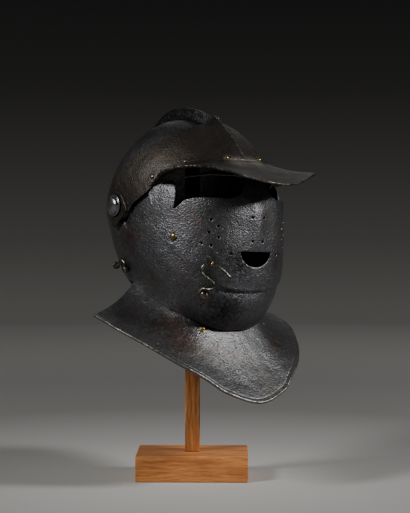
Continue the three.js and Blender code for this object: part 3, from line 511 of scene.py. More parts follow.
baseWood = sawnWood("waxed_hardwood_block", 0, (0.0, 0.0, math.radians(39)), woodLook["block"])
postWood = sawnWood("waxed_hardwood_post", 2, (0.0, 0.0, 0.0), woodLook["post"], woodLook["insideShade"])
print("materials made")


edges = {  # angle above straight ahead of each plate's first and last edge, by latitude towards the pivot
    "skull": [(0, 34, 248), (20, 34, 250), (35, 33, 256), (48, 31, 262), (60, 27, 263), (72, 5, 264),
              (83, -20, 268)],
    "bevor": [(0, -51.6, -28), (14, -52, -28), (24, -52.4, -27.5), (31, -53.5, -27), (38, -56, -26),
              (43, -66, -25), (48, -90, -23), (53, -98, -18), (56, -99, -14), (62, -100, 2),
              (66, -100, 22), (72, -100, 30), (83, -100, 38)],
    "visor": [(0, -33.3, 18.5), (24, -33, 18.5), (39, -31.8, 18.5), (50, -29.7, 18.5), (58, -25.9, 19),
              (62, -20.5, 20.5), (65.7, -14.8, 24), (68, 0, 28), (69.5, 19, 32), (75, 24, 42), (83, 30, 60)],
    "fall": [(0, 22, 60), (6, 22.3, 57.4), (17, 23, 55.5), (29, 24, 54.8), (44, 24, 58.8), (62, 21.5, 75),
             (68, 16.7, 87), (74, 12, 103), (80, 4.7, 130), (84, -17, 170)],
}
wornRim = {"reach": 1.2, "strength": 0.62, "lug": 0.15}  # how far in from an edge, in mm, and how much


def edgeAngles(plate, latitude):
    table = np.array(edges[plate], float)
    at = np.abs(latitude)
    return smoothRead(table[:, 0], table[:, 1], at), smoothRead(table[:, 0], table[:, 2], at)


def plateGrid(plate, latitude, rows, outerRelief=None, innerRelief=None):
    # angle = first edge + v * (last edge - first edge), v from 0 to 1 by rows;
    # skins at the layer's offset and a wall below it, both sinking to the lug's level by the pivots
    first, last = edgeAngles(plate, latitude)
    v = np.linspace(0, 1, rows)[:, None]
    angle = first + v * (last - first)
    lat = np.broadcast_to(latitude, angle.shape)
    sink = (helmet["lugSink"] - 0.04) * smoothStep(72, 85, np.abs(lat))
    offset = helmet["layerStep"] * layers[plate] - sink
    outer = formPoint(lat, angle, offset, outerRelief(lat, angle) if outerRelief else 0.0)
    inner = formPoint(lat, angle, offset - helmet["wall"], innerRelief(lat, angle) if innerRelief else 0.0)
    return outer.reshape(-1, 3), inner.reshape(-1, 3), lat, angle


def sheetShape(outer, inner, faces, reach=None):
    # the closed sheet in the row frame, with the wear near its rim; unused grid points are dropped
    used = np.zeros(len(outer), bool)
    used[faces.ravel()] = True
    number = np.cumsum(used) - 1
    outer, inner, faces = outer[used], inner[used], number[faces]
    points, kinds, rim = closedSheet(outer, inner, faces)
    wear = nearness(points, outer[rim], reach or wornRim["reach"]) * wornRim["strength"]
    wear[len(outer):2 * len(outer)] = 0
    points, kinds = outward(points, kinds)
    return toRow(points), kinds, wear


def lug(plate, tip=None):
    # a round end to each arm: discs of radius r(turn), drawn out to the tip where there is one,
    # with rounded rims: height = half wall * cos, radius = r - rounding + rounding * sin
    shapes = []
    around = 96
    turn = np.linspace(0, 2 * np.pi, around, endpoint=False)
    radius = np.full(around, float(helmet["lugRadius"]))
    if tip:  # polar distance to the straight sides that run from the disc to the tip
        tipAngle = math.atan2(tip["up"], tip["forward"])
        reach = math.hypot(tip["up"], tip["forward"])
        half = math.acos(helmet["lugRadius"] / reach)  # where the sides leave the disc
        off = (turn - tipAngle + np.pi) % (2 * np.pi) - np.pi
        side = helmet["lugRadius"] / np.cos(half - np.abs(off))
        radius = np.where((off < 0) & (off > -half), side, radius)
        shoulder = np.array(tip["shoulder"])  # forward of the pivot the side runs straight up to the arm
        run = shoulder - np.array([tip["forward"], tip["up"]])
        facing = np.cos(turn) * run[1] - np.sin(turn) * run[0]
        line = (tip["forward"] * run[1] - tip["up"] * run[0]) / np.where(facing > 1e-3, facing, 1e-3)
        shoulderOff = math.atan2(shoulder[1], shoulder[0]) - tipAngle
        radius = np.where((off >= 0) & (off < shoulderOff), line, radius)
        after = np.exp(-np.clip(off - shoulderOff, 0, 9) / 0.35)
        radius = np.where(off >= shoulderOff, radius + after * (np.hypot(*shoulder) - radius), radius)
    round_ = 0.5
    t = np.array([(0.0, -1), (0.92, -1), *[(1, -math.cos(a)) for a in np.linspace(0.3, math.pi - 0.3, 5)],
                  (0.92, 1), (0, 1)])
    inset = np.array([0, 0, *[1 - math.sin(a) for a in np.linspace(0.3, math.pi - 0.3, 5)], 0, 0]) * round_
    for side in (-1, 1):
        outerFace = helmet["halfWidth"] + helmet["layerStep"] * layers[plate] - helmet["lugSink"]
        level = outerFace - 0.75 + 0.75 * t[1:-1, 1]
        r = radius[None, :] * t[1:-1, 0][:, None] - inset[1:-1, None]
        ring = np.stack(
            [side * np.broadcast_to(level[:, None], r.shape), -r * np.cos(turn), r * np.sin(turn)], -1)
        points, kinds = carried(ring)
        wear = np.zeros(len(points))
        wear[around:-2 - around] = wornRim["lug"]
        shapes.append((toRow(points), kinds, wear))
    return shapes


def wornSolid(shape, wear=0.0):
    # a closed helmet-frame solid as a shape for makePiece
    points, kinds = shape
    return toRow(points), kinds, np.full(len(points), float(wear))


# Skull, with its low thick comb
skullPlate = {
    "rows": 190,
    "crest": [(38, 108), (48, 116.5), (56, 118), (100, 118), (114, 114), (128, 108), (150, 99), (180, 91),
              (205, 84), (222, 80)],  # the crest's reach from the pivots
    "section": [(0, 1.0), (1.2, 0.985), (1.9, 0.9), (2.25, 0.75), (3, 0.36), (4, 0.16), (6.5, 0.0), (400, 0.0)],
}


def combRelief(latitude, angle):
    # relief = (crest - form's reach) * section(|across|)
    crest = np.array(skullPlate["crest"], float)
    section = np.array(skullPlate["section"], float)
    plain = formPoint(latitude, angle)
    rise = np.maximum(smoothRead(crest[:, 0], crest[:, 1], angle)
                      - smoothRead(formTable[:, 0], formTable[:, 1], ((angle + 90) % 360) - 90), 0)
    rise *= smoothStep(30, 42, angle) * smoothStep(226, 214, angle)
    return rise * smoothRead(section[:, 0], section[:, 1], np.abs(plain[..., 0]))


def latitudeColumns(fineAcross, step, edgeStep=1.5, coarseFrom=66):
    # latitudes of the columns: at the given distances across, then in even steps out to the pivots
    fine = np.degrees(np.arcsin((np.array(fineAcross) / helmet["halfWidth"]) ** 1.08))
    half = np.concatenate(
        [fine, np.arange(fine[-1] + step, coarseFrom, step), np.arange(coarseFrom, 85.01, edgeStep)])
    half[-1] = 85.0
    return np.concatenate([-half[::-1], [0.0], half])


combAcross = [0.6, 1.1, 1.5, 1.75, 1.95, 2.15, 2.35, 2.6, 3, 3.5, 4, 4.7, 5.5, 6.5, 8]
skullLatitude = latitudeColumns(combAcross, 1.25)
outer, inner, _, _ = plateGrid("skull", skullLatitude, skullPlate["rows"], combRelief)
skullSheet = sheetShape(outer, inner, gridFaces(skullPlate["rows"], len(skullLatitude)))
skullPiece = makePiece("skull_plate", [skullSheet, *lug("skull")])
place(skullPiece, "skull_and_stand", "black_steel", skullSteel, "skull")

# Bevor, under the chin and round to the nape
bevorPlate = {
    "rows": 130,
    "sunk": 3.4, "sunkLatitude": -8, "sunkWidth": 19,  # mm, and degrees: its middle lies to the wearer's right
}


def chinRelief(latitude, angle):
    # under the mask's lower edge the plate falls away:
    # -sunk * step(angle) * exp(-((latitude - middle) / width)^2)
    b = bevorPlate
    spread = np.exp(-((latitude - b["sunkLatitude"]) / b["sunkWidth"]) ** 2)
    return -b["sunk"] * smoothStep(-39, -33.5, angle) * spread


bevorLatitude = latitudeColumns([1.2], 1.1)
outer, inner, _, _ = plateGrid("bevor", bevorLatitude, bevorPlate["rows"], chinRelief, chinRelief)
bevorSheet = sheetShape(outer, inner, gridFaces(bevorPlate["rows"], len(bevorLatitude)))
bevorPiece = makePiece("bevor_plate", [bevorSheet, *lug("bevor")])
place(bevorPiece, "lower_face", "black_steel", bevorSteel, "bevor")
print("skull and bevor made")

# Visor: the mask, with its nose, eyes, mouth and breath holes
visorPlate = {
    "rows": 156,
    "noseHeight": 5, "noseHalfWidth": 11, "noseFrom": -19, "noseTo": 6, "noseSwell": 1.6,
    "eye": [(15, 35), (17, 20), (24, 13), (33, 9.5), (62, 9.5), (70, 7), (77, -5), (75, 12), (73, 30),
            (50, 35.5)],
    "mouthHalfWidth": 21.5, "mouthTop": -48, "mouthDepth": 18,
    "breathRadius": 1.9,
    "breathNear": (0.55, -60, 0.9),  # where a hole's line starts: share of its across, forward, share of its up
    "faceReach": 147, "faceSlope": 0.42,  # and where it leaves: a rough face that falls back to the sides
    "breaths": [(8, -10.5), (7, -36.5), (30, -50), (51, -14), (44, -21), (52, -28), (43, -33), (58, -40),
                (49, -42)],
}


def noseRelief(latitude, angle):
    # height * swell along the ridge * exp(-(across / half width)^2)
    v = visorPlate
    across = formPoint(latitude, angle, helmet["layerStep"] * 2)[..., 0] / v["noseHalfWidth"]
    t = (angle - v["noseFrom"]) / (v["noseTo"] - v["noseFrom"])
    inside = (t > 0) & (t < 1)
    t = np.clip(t, 0, 1)
    swell = np.sin(np.pi / 2 * np.minimum(1, v["noseSwell"] * t)) * np.sqrt(1 - t)
    return np.where(inside, v["noseHeight"] * swell, 0) * np.exp(-across**2)


def polygonDistance(polygon, x, z):
    # distance to the polygon's outline, negative inside it
    inside = np.zeros(x.shape, bool)
    best = np.full(x.shape, 1e9)
    for (ax, az), (bx, bz) in zip(polygon, polygon[1:] + polygon[:1]):
        dx, dz = bx - ax, bz - az
        t = np.clip(((x - ax) * dx + (z - az) * dz) / (dx * dx + dz * dz), 0, 1)
        best = np.minimum(best, np.hypot(x - ax - t * dx, z - az - t * dz))
        crosses = (az > z) != (bz > z)
        inside ^= crosses & (x < dx * (z - az) / (dz if dz else 1e-9) + ax)
    return np.where(inside, -best, best)


def smoothed(polygon, rounds):
    # each corner cut to two points, at 0.15 and 0.85 of its sides, once a round
    p = np.array(polygon, float)
    for _ in range(rounds):
        q = np.roll(p, -1, axis=0)
        p = np.stack([0.85 * p + 0.15 * q, 0.15 * p + 0.85 * q], 1).reshape(-1, 2)
    return [tuple(row) for row in p.tolist()]


def visorOpening(latitude, angle):
    # distance from a point of the visor to the nearest opening's outline, negative inside one
    v = visorPlate
    point = formPoint(latitude, angle, helmet["layerStep"] * 2, noseRelief(latitude, angle))
    x, forward, z = point[..., 0], -point[..., 1], point[..., 2]
    eye = polygonDistance(smoothed(v["eye"], 1), np.abs(x), z)
    turn = np.linspace(math.pi, 2 * math.pi, 25)
    half = list(zip((v["mouthHalfWidth"] * np.cos(turn)).tolist(),
                    (v["mouthTop"] + v["mouthDepth"] * np.sin(turn)).tolist()))
    distance = np.minimum(eye, polygonDistance(half, x, z))
    for across, up in v["breaths"]:  # each breath hole is a round hole about its own line from inside
        near = np.array([across, 1, up]) * v["breathNear"]
        face = np.array([across, -(math.sqrt(v["faceReach"] ** 2 - up**2) - across * v["faceSlope"]), up])
        along = (face - near) / np.linalg.norm(face - near)
        rel = np.stack([np.abs(x), -forward, z], -1) - near
        off = np.linalg.norm(rel - (rel @ along)[..., None] * along, axis=-1)
        distance = np.minimum(distance, off - v["breathRadius"])
    return distance


def snapToOutline(latitude, angle, field):
    # grid points next to the outline move along a grid line or diagonal onto it:
    # share of the step = own distance / (own distance - neighbour's distance)
    d = field(latitude, angle)
    newLat, newAng, best = latitude.copy(), angle.copy(), np.full(d.shape, 0.5)
    rows, columns = d.shape
    for di, dj in [(0, 1), (0, -1), (1, 0), (-1, 0), (1, 1), (-1, -1)]:
        i = np.clip(np.arange(rows) + di, 0, rows - 1)[:, None]
        j = np.clip(np.arange(columns) + dj, 0, columns - 1)[None, :]
        other = d[i, j]
        share = np.where(d * other < 0, d / np.where(d == other, 1, d - other), 1.0)
        use = share < best
        best = np.where(use, share, best)
        newLat = np.where(use, latitude + share * (latitude[i, j] - latitude), newLat)
        newAng = np.where(use, angle + share * (angle[i, j] - angle), newAng)
    d = np.where(best < 0.5, 0.0, field(newLat, newAng))
    return newLat, newAng, d


visorLatitude = latitudeColumns([0.6, 1.2], 0.53, edgeStep=1.6, coarseFrom=66)
first, last = edgeAngles("visor", visorLatitude)
angle = first + np.linspace(0, 1, visorPlate["rows"])[:, None] * (last - first)
latitude = np.broadcast_to(visorLatitude, angle.shape).copy()
latitude, angle, distance = snapToOutline(latitude, angle, visorOpening)
sink = (helmet["lugSink"] - 0.04) * smoothStep(72, 85, np.abs(latitude))
offset = helmet["layerStep"] * 2 - sink
relief = noseRelief(latitude, angle)
outer = formPoint(latitude, angle, offset, relief).reshape(-1, 3)
inner = formPoint(latitude, angle, offset - helmet["wall"], relief).reshape(-1, 3)
quads = gridFaces(*angle.shape)
triangles = np.concatenate([quads[:, [0, 1, 2]], quads[:, [0, 2, 3]]])
flat = distance.ravel()[triangles]
middle = visorOpening(latitude.ravel()[triangles].mean(1), angle.ravel()[triangles].mean(1))
keep = (flat.min(1) >= -1e-6) & ((flat.max(1) > 1e-6) | (middle > 0))
visorSheet = sheetShape(outer, inner, triangles[keep])
visorPiece = makePiece("visor_plate", [visorSheet, *lug("visor")])
place(visorPiece, "upper_face", "black_steel", maskSteel, "visor")
print("visor made with", len(visorPiece.data.polygons), "faces")

# Fall: the brow plate, its ridge and its peak
fallPlate = {
    "rows": 110,
    "ridge": [(22, 0.6), (32, 3.2), (45, 4.8), (60, 7.2)],  # height of the ridge over the comb
    "ridgeHalfWidth": 8.5,
    "peak": [(0, 186, 25), (20, 183, 27), (40, 176, 31), (62, 163, 38), (82, 147, 42), (95, 130, 41.5),
             (99, 108, 38.5), (94, 86, 34), (84, 66, 27)],  # its rim: across, forward, up
    "peakLatitude": 66, "rootAboveEdge": 1.2, "beadRadius": 1.55, "halfWall": 0.9,
    "stations": 260,
    # painted highlights along the ridge's crest and the middle of the peak's root: strength and width
    "crestHighlight": 0.75, "crestWidth": 0.0018,
    "rootHighlight": 0.8, "rootWidth": 0.16,
    "tip": {"forward": -1, "up": -26, "shoulder": (23.5, -5.5)},
}


def ridgeRelief(latitude, angle):
    # height(angle) * exp(-(|across| / half width)^1.35), a keel
    table = np.array(fallPlate["ridge"], float)
    across = np.abs(formPoint(latitude, angle, helmet["layerStep"] * 3)[..., 0]) / fallPlate["ridgeHalfWidth"]
    return smoothRead(table[:, 0], table[:, 1], angle) * np.exp(-across**1.35)


def peakShape():
    # section across the peak: from its root along the top, round the bead at the rim and back below,
    # point = root + along * direction + height * normal, with small fillets at the root
    f = fallPlate
    t = np.linspace(-1, 1, f["stations"])
    latitude = f["peakLatitude"] * t
    first, _ = edgeAngles("fall", latitude)
    root = formPoint(latitude, first + f["rootAboveEdge"], helmet["layerStep"] * 3 - f["halfWall"],
                     ridgeRelief(latitude, first + f["rootAboveEdge"]))
    rim = np.array(f["peak"], float)
    step = np.linspace(0, 1, len(rim))
    edge = np.stack([mirroredRead(step, rim[:, 0], t, -1), -smoothRead(step, rim[:, 1], np.abs(t)),
                     smoothRead(step, rim[:, 2], np.abs(t))], -1)
    length = np.linalg.norm(edge - root, axis=1)
    along = (edge - root) / length[:, None]
    sideways = np.gradient(0.5 * (root + edge), axis=0)
    normal = np.cross(sideways, along)
    normal *= np.sign(normal[:, 2:3])
    normal /= np.linalg.norm(normal, axis=1, keepdims=True)
    share = np.array([0, 0.01, 0.025, 0.05, 0.08, 0.13, 0.2, 0.3, 0.42, 0.55, 0.68, 0.8, 0.9, 0.95])
    s = share[None, :] * length[:, None]
    top = f["halfWall"] + 2.2 * np.exp(-s / 2.2)
    below = -f["halfWall"] - 1.1 * np.exp(-s / 2.0)
    bead = np.radians(np.linspace(142, -142, 13))
    beadAlong = length[:, None] - f["beadRadius"] + f["beadRadius"] * np.cos(bead)
    beadHeight = np.broadcast_to(f["beadRadius"] * np.sin(bead), beadAlong.shape)
    droop = lambda a: -1.2 * np.sin(np.pi * np.clip(a / length[:, None], 0, 1))
    a = np.concatenate([s, beadAlong, s[:, ::-1]], 1)
    h = np.concatenate([top, beadHeight, below[:, ::-1]], 1) + droop(a)
    loops = root[:, None] + a[..., None] * along[:, None] + h[..., None] * normal[:, None]
    points, kinds = carried(loops)
    wearAndHighlight = np.zeros(loops.shape[:2])
    wearAndHighlight[:, len(share):len(share) + 13] = 0.55 * np.sin(np.linspace(0.2, np.pi - 0.2, 13))
    wearAndHighlight[:, :6] = f["rootHighlight"] * np.exp(-(t / f["rootWidth"]) ** 2)[:, None]  # painted highlight at the middle of the root, where the crease catches light
    return toRow(points), kinds, np.concatenate([wearAndHighlight.ravel(), [0, 0]])


fallLatitude = latitudeColumns([0.7, 1.5, 2.4, 3.3, 4.3, 5.4, 6.6, 8, 9.5], 1.1)
outer, inner, _, _ = plateGrid("fall", fallLatitude, fallPlate["rows"], ridgeRelief, ridgeRelief)
fallSheet = sheetShape(outer, inner, gridFaces(fallPlate["rows"], len(fallLatitude)))
above = fallSheet[0][:, 2] - helmet["pivotHeight"] / 1000
beside = fallSheet[0][:, 0] - above * math.tan(math.radians(helmet["leanDegrees"]))
crest = fallPlate["crestHighlight"] * np.exp(-(beside / fallPlate["crestWidth"]) ** 2)
fallSheet = (*fallSheet[:2], np.maximum(fallSheet[2], crest))  # the ridge, with a painted highlight along its crest
fallPiece = makePiece("fall_plate", [fallSheet, peakShape(), *lug("fall", fallPlate["tip"])])
place(fallPiece, "brow", "brown_steel", peakSteel, "fall")
print("fall made")

# Gorget plate, flaring from the bevor's lower edge to a rolled rim
gorgetPlate = {
    "neck": [(0, 0, 1.2), (0.25, 14, 1.2), (0.45, 26, 1.4), (0.6, 34, 2.2), (0.75, 40, 4), (0.9, 44, 5),
             (1, 46.5, 4)],
    "rim": [(0, 0, 157, -212.5), (0.25, 40, 149, -201.5), (0.4, 62, 137, -186), (0.55, 86, 119, -170.5),
            (0.7, 107, 92, -153), (0.87, 126, 50, -133.5), (1, 128, 18, -124)],
    "turns": 300, "drops": 90,
    "beadRadius": 1.8,
    "borderGroove": {"inset": 4.6, "width": 0.7, "depth": 0.45},
    "sag": 8, "sagFade": 0.4, "collarAngle": 3.5, "collarGap": 2.2,
    "holes": [(-0.88, 0.14), (0.6, 0.22)],
    "rivet": (-0.36, 0.085),
    "holeRadius": 1.6,
    # painted highlight along the neck's bend: the drop it lies at, its strength and width
    "highlightDrop": 0.03, "bendHighlight": 0.85, "bendWidth": 0.0013,
}


def gorgetPoint(turn, drop):
    # below the collar: neck + drop * (rim - neck), sagging by sag * sin(pi * drop) * (1 - fade * drop);
    # the collar (drop from -1 to 0) runs up inside the bevor's edge
    g = gorgetPlate
    turn, drop = np.broadcast_arrays(np.asarray(turn, float), np.asarray(drop, float))
    neck, rim = np.array(g["neck"], float), np.array(g["rim"], float)
    along = np.abs(turn)
    latitude = mirroredRead(neck[:, 0], neck[:, 1], turn, -1)
    depth = 1.5 * helmet["wall"] + g["collarGap"]
    edge, _ = edgeAngles("bevor", latitude)
    below = -smoothRead(neck[:, 0], neck[:, 2], along)
    up = below + (g["collarAngle"] - below) * np.clip(-drop, 0, 1)
    start = formPoint(latitude, edge + up, helmet["layerStep"] - depth)
    end = np.stack([mirroredRead(rim[:, 0], rim[:, 1], turn, -1), -smoothRead(rim[:, 0], rim[:, 2], along),
                    smoothRead(rim[:, 0], rim[:, 3], along)], -1)
    d = np.clip(drop, 0, 1)[..., None]
    point = start + d * (end - start)
    point[..., 2] -= g["sag"] * np.sin(np.pi * d[..., 0]) * (1 - g["sagFade"] * d[..., 0])
    return point


def gorgetNormal(turn, drop):
    step = 0.01
    low = np.maximum(drop, 0.0)
    sideways = gorgetPoint(turn + step, low) - gorgetPoint(turn - step, low)
    down = gorgetPoint(turn, low + step) - gorgetPoint(turn, np.maximum(low - step, 0))
    n = np.cross(down, sideways)
    return n / np.linalg.norm(n, axis=-1, keepdims=True)


def gorgetHoleDistance(turn, drop):
    point = gorgetPoint(turn, drop)
    distance = np.full(point.shape[:-1], 1e3)
    for t, d in [*gorgetPlate["holes"], gorgetPlate["rivet"]]:
        reach = np.linalg.norm(point - gorgetPoint(t, d), axis=-1)
        distance = np.minimum(distance, reach - gorgetPlate["holeRadius"])
    return distance


def gorgetShapes():
    g = gorgetPlate
    low = np.linspace(0, 1, g["drops"])[::-1]
    drop = np.concatenate([low, [-0.25, -0.5, -0.75, -1.0]])
    turnLine = np.linspace(-1, 1, g["turns"])
    turn = np.broadcast_to(turnLine, (len(drop), g["turns"])).copy()
    drop = np.broadcast_to(drop[:, None], turn.shape).copy()
    turn, drop, distance = snapToOutline(turn, drop, gorgetHoleDistance)
    middle = gorgetPoint(turn, drop)
    normal = gorgetNormal(turn, drop)
    length = np.linalg.norm(gorgetPoint(turn, 1.0) - gorgetPoint(turn, 0.0), axis=-1)
    inset = (1 - drop) * length
    b = g["borderGroove"]
    groove = b["depth"] * np.exp(-((inset - b["inset"]) / b["width"]) ** 2)
    burr = 0.7 * np.exp(-np.clip(distance, 0, 99) / 0.9)  # the holes' punched edges stand up a little
    outer = (middle + (helmet["wall"] / 2 - groove + burr)[..., None] * normal).reshape(-1, 3)
    inner = (middle - helmet["wall"] / 2 * normal).reshape(-1, 3)
    quads = gridFaces(*turn.shape)
    triangles = np.concatenate([quads[:, [0, 1, 2]], quads[:, [0, 2, 3]]])
    flat = distance.ravel()[triangles]
    keep = (flat.min(1) >= -1e-6) & (flat.max(1) > 1e-6)
    plate = sheetShape(outer, inner, triangles[keep], 1.2)
    for ends in ((-1, -0.45), (0.45, 1)):  # painted highlight along the bend at each side of the neck
        bend = toRow(gorgetPoint(np.linspace(*ends, 120), g["highlightDrop"]))
        plate = (*plate[:2], np.maximum(plate[2], g["bendHighlight"] * nearness(plate[0], bend, g["bendWidth"])))
    rimLine = gorgetPoint(np.linspace(-1, 1, 400), 1.0)
    rimNormal = gorgetNormal(np.linspace(-1, 1, 400), 1.0)
    forward = np.gradient(rimLine, axis=0)
    forward /= np.linalg.norm(forward, axis=1, keepdims=True)
    outwards = np.cross(forward, rimNormal)
    a = np.linspace(0, 2 * np.pi, 14, endpoint=False)[None, :, None]
    loops = rimLine[:, None] + g["beadRadius"] * (np.cos(a) * outwards[:, None] + np.sin(a) * rimNormal[:, None])
    points, kinds = carried(loops)
    wearAndHighlight = 0.62 * np.clip(np.sin(a[..., 0]) + 0.35, 0, 1) * np.ones((400, 1))
    return [plate, (toRow(points), kinds, np.concatenate([wearAndHighlight.ravel(), [0.5, 0.5]]))]


gorgetPiece = makePiece("gorget_plate", gorgetShapes())
place(gorgetPiece, "lower_face", "brown_steel", rubbedSteel, "gorget")
print("gorget made")


# Rivets: hammered domes over their washers, on shanks through the plates
rivetSizes = {
    "small": 2.7, "large": 4.2, "rise": 0.6, "shank": 1.2, "sink": 2.1, "washer": 4.7, "washerWall": 0.55,
}
rivetPlaces = {
    "brow_rivet": ("fall", 12, 25.5, "small", "brow", "brass"),
    "temple_rivet": ("fall", 61, 29, "small", "brow", "worn_steel"),
    "side_rivet": ("fall", 38, 29, "small", "brow", "worn_steel"),
    "cheek_rivet": ("visor", 54.4, -20.2, "large", "upper_face", "brass"),
}


def domeProfile(radius, rise, base, steps=8):
    # quarter ellipse from the edge to the top: (radius * cos, base + rise * sin)
    a = np.linspace(0, np.pi / 2, steps)[:-1]
    return [*zip((radius * np.cos(a)).tolist(), (base + rise * np.sin(a)).tolist()), (0, base + rise)]


def rivetShape(head, foot, normal, washer=False):
    r = rivetSizes
    if washer:  # a thin dished washer with a raised rim under the head
        base = helmet["seat"]
        w, t = r["washer"], r["washerWall"]
        profile = [(0, -r["sink"]), (r["shank"], -r["sink"]), (r["shank"], base - 0.25), (w - 0.15, base - 0.25),
                   (w, base), (w - 0.1, base + t * 0.8), (w - 0.5, base + t), (w - 1.1, base + t * 0.45),
                   (head + 0.25, base + t * 0.4), (head, base + t * 0.7),
                   *domeProfile(head * 0.97, r["rise"] * head, base + t * 0.9)]
        return wornSolid(turned(profile, foot, normal, 36), 0.4)
    profile = [(0, -r["sink"]), (r["shank"], -r["sink"]), (r["shank"], helmet["seat"]),
               (head * 0.985, helmet["seat"]), (head, helmet["seat"] + 0.2),
               *domeProfile(head * 0.985, r["rise"] * head - 0.35, helmet["seat"] + 0.35)]
    return wornSolid(turned(profile, foot, normal, 28), 0.4)


def onPlate(plate, latitude, angle, relief=None):
    offset = helmet["layerStep"] * layers[plate]
    foot = formPoint(latitude, angle, offset, relief(latitude, angle) if relief else 0.0)
    return foot, formNormal(latitude, angle, offset, relief)


slotMaterials = {"brass": agedBrass, "worn_steel": filedIron}
for rivetName, (plate, rivetLatitude, rivetAngle, size, body, slot) in rivetPlaces.items():
    for side, sideName in ((-1, "right"), (1, "left")):
        foot, normal = onPlate(plate, side * rivetLatitude, rivetAngle)
        node = rivetName + "_" + sideName
        washer = rivetName == "brow_rivet"
        piece = makePiece("forged_" + node, [rivetShape(rivetSizes[size], foot, normal, washer)])
        place(piece, body, slot, slotMaterials[slot], node)
foot, normal = onPlate("fall", 0, 56.5, ridgeRelief)
cuspRivet = makePiece("forged_cusp_rivet", [rivetShape(rivetSizes["small"], foot, normal)])
place(cuspRivet, "brow", "worn_steel", filedIron, "cusp_rivet")
normal = gorgetNormal(*gorgetPlate["rivet"])
foot = gorgetPoint(*gorgetPlate["rivet"]) + normal * helmet["wall"] / 2
gorgetRivet = makePiece("forged_gorget_rivet", [rivetShape(rivetSizes["small"], foot, normal, True)])
place(gorgetRivet, "lower_face", "brass", agedBrass, "gorget_rivet")

# Pivots: a domed boss on a flat washer, its pin and the nut inside
pivotSizes = {
    "pin": 2.7, "nut": 5, "nutHeight": 1.5, "boss": 10, "bossRise": 4.6, "washer": 12.5, "washerWall": 1.2,
}


def pivotShape(side):
    p = pivotSizes
    seat = helmet["halfWidth"] + helmet["layerStep"] * 3 + helmet["seat"]
    inside = helmet["halfWidth"] - helmet["lugSink"] - 1.5 - helmet["seat"] - seat
    top = p["washerWall"]
    profile = [
        (0, inside - p["nutHeight"]), (p["nut"] - 0.4, inside - p["nutHeight"]),
        (p["nut"], inside - p["nutHeight"] + 0.4),
        (p["nut"], inside - 0.1), (p["nut"] - 0.1, inside), (p["pin"], inside), (p["pin"], 0),
        (p["washer"] - 0.3, 0), (p["washer"], 0.3), (p["washer"] - 0.05, 0.8), (p["washer"] - 0.5, top),
        (p["boss"] + 0.7, top), (p["boss"] + 0.35, top - 0.25), (p["boss"], top),
        (p["boss"] - 0.1, top + 0.6), *domeProfile(p["boss"] - 0.3, p["bossRise"] - 0.9, top + 0.9, 12),
    ]
    points, kinds = turned(profile, np.array([side * seat, 0.0, 0.0]), np.array([side, 0.0, 0.0]), 72)
    return toRow(points), kinds, np.full(len(points), 0.12)


for side, sideName in ((-1, "right"), (1, "left")):
    piece = makePiece("domed_pivot_" + sideName, [pivotShape(side)])
    place(piece, "skull_and_stand", "black_steel", bossSteel, "pivot_" + sideName)

# Hooks: bent wire that turns on a stud and passes through a pierced staple
hookSizes = {
    "wire": 1.65, "eye": 4.2, "eyeWall": 2, "studHead": 4.6, "studNeck": 1.6, "lift": 3, "studSink": 2.3,
    "studRise": 2.6,
    "stapleRing": 3.1, "stapleWire": 1.0,
}
hooks = {
    "visor_hook": {
        "stud": (-30.2, -39.3), "staple": (-28.6, -26.4), "staplePlate": "visor", "stapleStep": 10,
        "hookBody": "front_hook", "stapleBody": "upper_face", "stapleNode": "visor_staple",
        "stapleMetal": agedBrass,
        "path": [(-33.8, -40, 3), (-33.2, -38.2, 3), (-30.9, -36.8, 4), (-28.1, -36.2, 6), (-25.6, -35, 7.5),
                 (-26.5, -33.2, 7.5), (-30, -32.3, 7.5), (-34, -31, 7.5), (-33.8, -28.6, 7.3), (-31.2, -26.6, 6.7),
                 (-28.6, -26.4, 6), (-24.4, -26.8, 6.8), (-20.7, -27.7, 7.9), (-16.1, -29.6, 9.6)],
    },
    "neck_hook": {
        "stud": (-57, 274), "staple": (-55, 257), "staplePlate": "skull", "stapleStep": 4,
        "hookBody": "side_hook", "stapleBody": "skull_and_stand", "stapleNode": "neck_staple",
        "stapleMetal": dirtyBrass,
        "path": [(-61, 277, 3), (-62.5, 272, 3), (-61, 267, 3.2), (-58, 261.5, 3.6), (-55, 257, 3.4),
                 (-53.5, 254, 3.2)],
    },
}


def smoothPath(points, perSpan):
    # centripetal spline through the points: knot spacing = sqrt of the distance between them
    p = np.concatenate([[2 * points[0] - points[1]], points, [2 * points[-1] - points[-2]]])
    gap = np.sqrt(np.maximum(np.linalg.norm(np.diff(p, axis=0), axis=1), 1e-6))
    knot = np.concatenate([[0], np.cumsum(gap)])
    u = (np.arange((len(points) - 1) * perSpan) / perSpan)
    i = np.floor(u).astype(int)
    t = (knot[i + 1] + (u - i) * (knot[i + 2] - knot[i + 1]))[:, None]
    k = [knot[i + n][:, None] for n in range(4)]
    q = [p[i + n] for n in range(4)]
    blend = lambda a, b, ka, kb: ((kb - t) * a + (t - ka) * b) / (kb - ka)
    a1, a2, a3 = (blend(q[n], q[n + 1], k[n], k[n + 1]) for n in range(3))
    b1, b2 = blend(a1, a2, k[0], k[2]), blend(a2, a3, k[1], k[3])
    return np.concatenate([blend(b1, b2, k[1], k[2]), points[-1:]])


def wireShape(line, radii, facing):
    # round wire along a line: point = line + radius * (cos * side + sin * facing)
    forward = np.gradient(line, axis=0)
    forward /= np.linalg.norm(forward, axis=1, keepdims=True)
    side = np.cross(forward, facing)
    side /= np.linalg.norm(side, axis=1, keepdims=True)
    up = np.cross(side, forward)
    a = np.linspace(0, 2 * np.pi, 12, endpoint=False)[None, :, None]
    r = radii[:, None, None]
    return carried(line[:, None] + r * (np.cos(a) * side[:, None] + np.sin(a) * up[:, None]))


